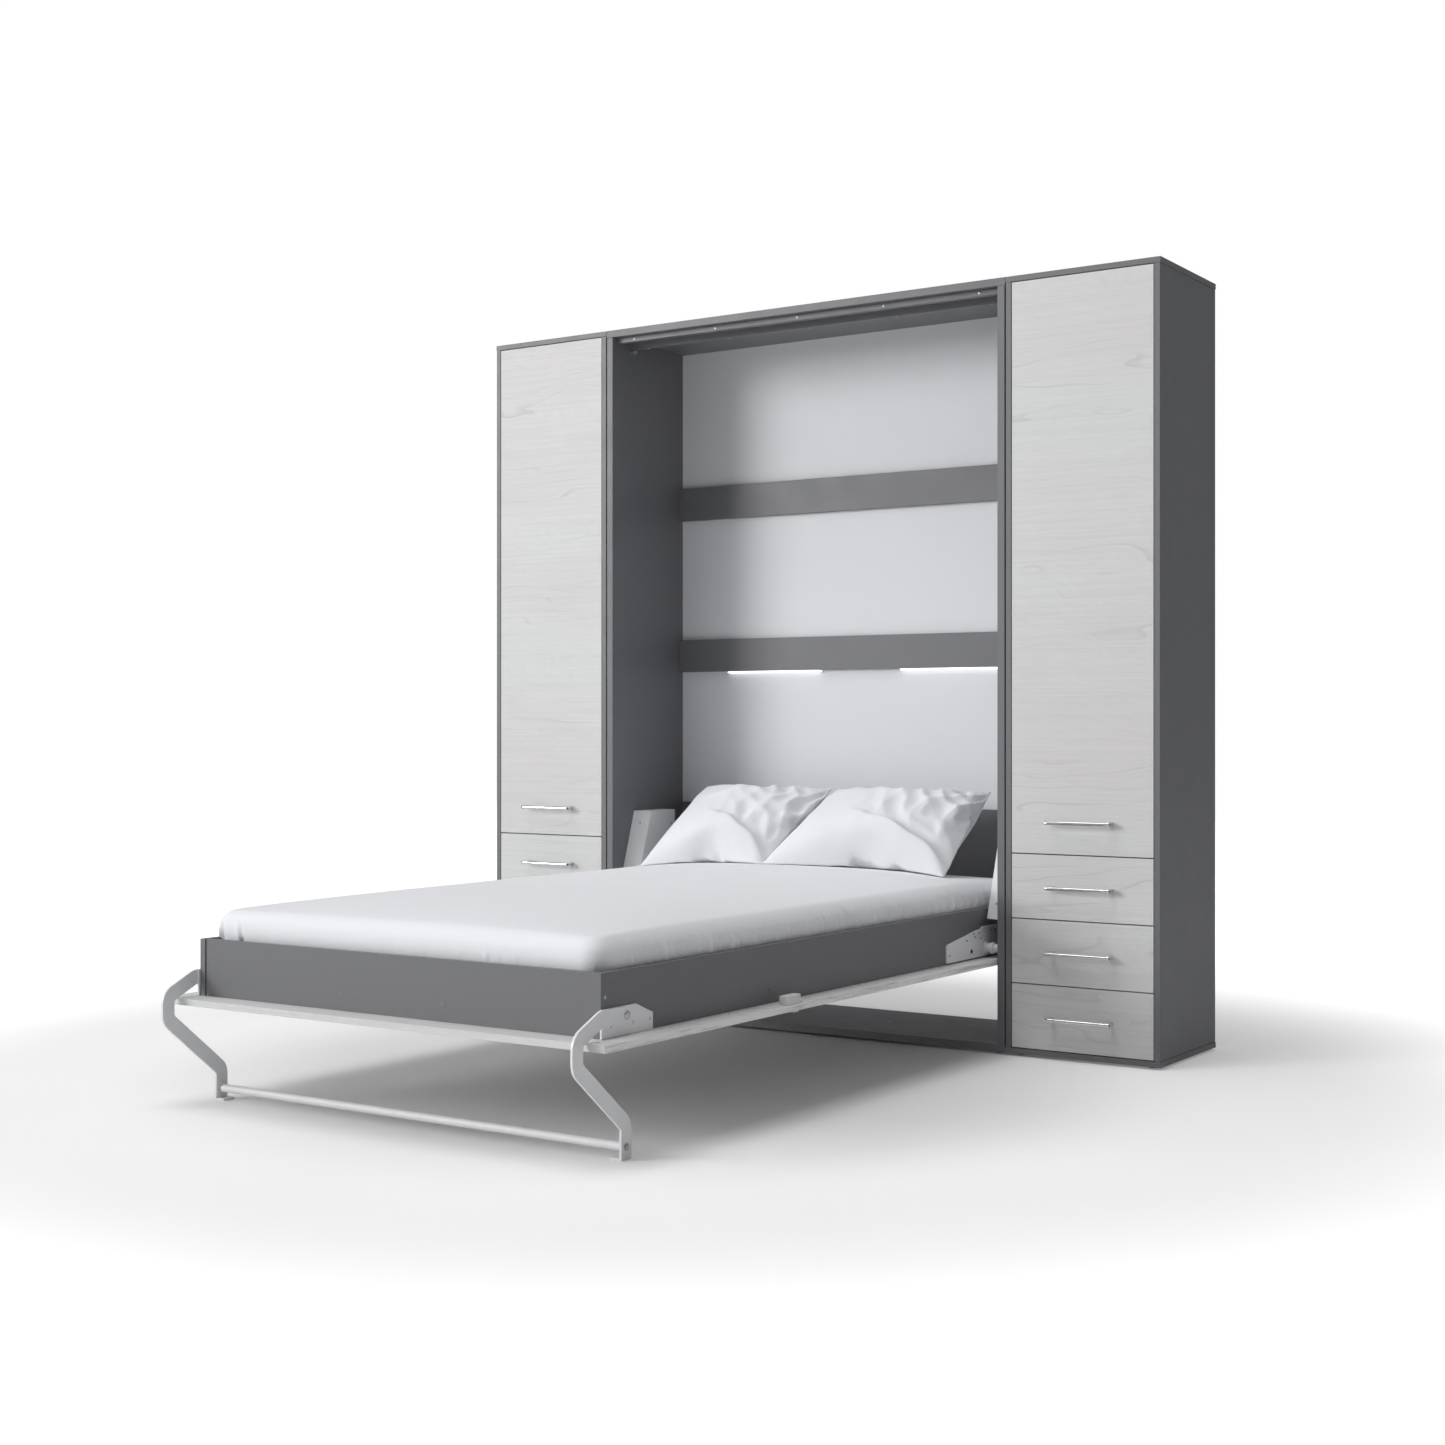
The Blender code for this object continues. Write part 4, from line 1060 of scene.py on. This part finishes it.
# ------------------------ floor, light and camera
def make_stage():
    bm = bmesh.new()
    bmesh.ops.create_grid(bm, x_segments=24, y_segments=24, size=14)
    mesh = bpy.data.meshes.new("studio_floor")
    bm.to_mesh(mesh)
    bm.free()
    mesh.materials.append(pale_floor())
    floor = bpy.data.objects.new("studio_floor", mesh)
    floor.location.z = -0.0005
    scene.collection.objects.link(floor)
    world = bpy.data.worlds.new("studio")
    scene.world = world
    world.use_nodes = True
    tree = world.node_tree
    tree.nodes.clear()
    output = tree.nodes.new("ShaderNodeOutputWorld")
    choose = tree.nodes.new("ShaderNodeMixShader")
    seen = tree.nodes.new("ShaderNodeLightPath")
    dim, bright = tree.nodes.new("ShaderNodeBackground"), tree.nodes.new("ShaderNodeBackground")
    for background, colour, strength in ((dim, (0.97, 0.98, 1, 1), SKY), (bright, (1, 1, 1, 1), 1.0)):
        background.inputs["Color"].default_value = colour
        background.inputs["Strength"].default_value = strength
    tree.links.new(seen.outputs["Is Camera Ray"], choose.inputs["Fac"])
    tree.links.new(dim.outputs[0], choose.inputs[1])
    tree.links.new(bright.outputs[0], choose.inputs[2])
    tree.links.new(choose.outputs[0], output.inputs["Surface"])


SKY = 0.228
# Each light shines at LIT_POINT: its name, degrees left of the front, degrees up, width and power.
LIT_POINT = Vector((0, front - 0.3, 0.9))
LIGHT_DISTANCE = 24.0
LIGHTS = (("key", 40, 15, 10.2, 2600), ("high", 27, 60, 10.2, 1100), ("top", 0, 85, 13.6, 1650))


def make_light_and_camera():
    for name, left, up, size, power in LIGHTS:
        light = bpy.data.lights.new(name, "AREA")
        light.shape = "DISK"
        light.size = size
        light.energy = power
        left, up = math.radians(left), math.radians(up)
        towards = Vector((-math.sin(left) * math.cos(up), -math.cos(left) * math.cos(up), math.sin(up)))
        lamp = bpy.data.objects.new(name, light)
        lamp.location = LIT_POINT + towards * LIGHT_DISTANCE
        lamp.rotation_euler = towards.to_track_quat("Z", "Y").to_euler()
        scene.collection.objects.link(lamp)
    scene.view_settings.view_transform = "Standard"
    camera = bpy.data.cameras.new("camera")
    camera.lens = LENS
    camera.sensor_width = 36
    obj = bpy.data.objects.new("camera", camera)
    obj.location = (CAMERA_RIGHT, front - CAMERA_BEFORE_FRONT, CAMERA_HEIGHT)
    obj.rotation_euler = (math.pi / 2, 0, CAMERA_TURN)
    scene.collection.objects.link(obj)
    scene.camera = obj


# ------------------------ build
make_stage()
make_light_and_camera()
dress_nodes()
for side, sign in SIDES:
    make_handle(f"{side}_door_handle", f"{side}_door")
    for level in LEVELS:
        make_handle(f"{side}_{level}_drawer_handle", f"{side}_{level}_drawer")
    make_cupboard_fittings(side, sign)
    make_light_strip(side)
    make_spring_fittings(side, sign)
    make_pivot_bush(side, sign)
make_niche_fittings()
make_back_fittings()
for side, sign in SIDES:
    make_hinge_plate_fittings(side, sign)
    make_leg_plate_screws(side, sign)
    make_panel_clip(side, sign)
make_foot_and_panel_fittings()
make_leg_fittings()
make_mattress()
for number, (side, corners) in enumerate(PILLOWS.items()):
    make_pillow(side, [(x, front + y, z) for x, y, z in corners], 5.0 * number)
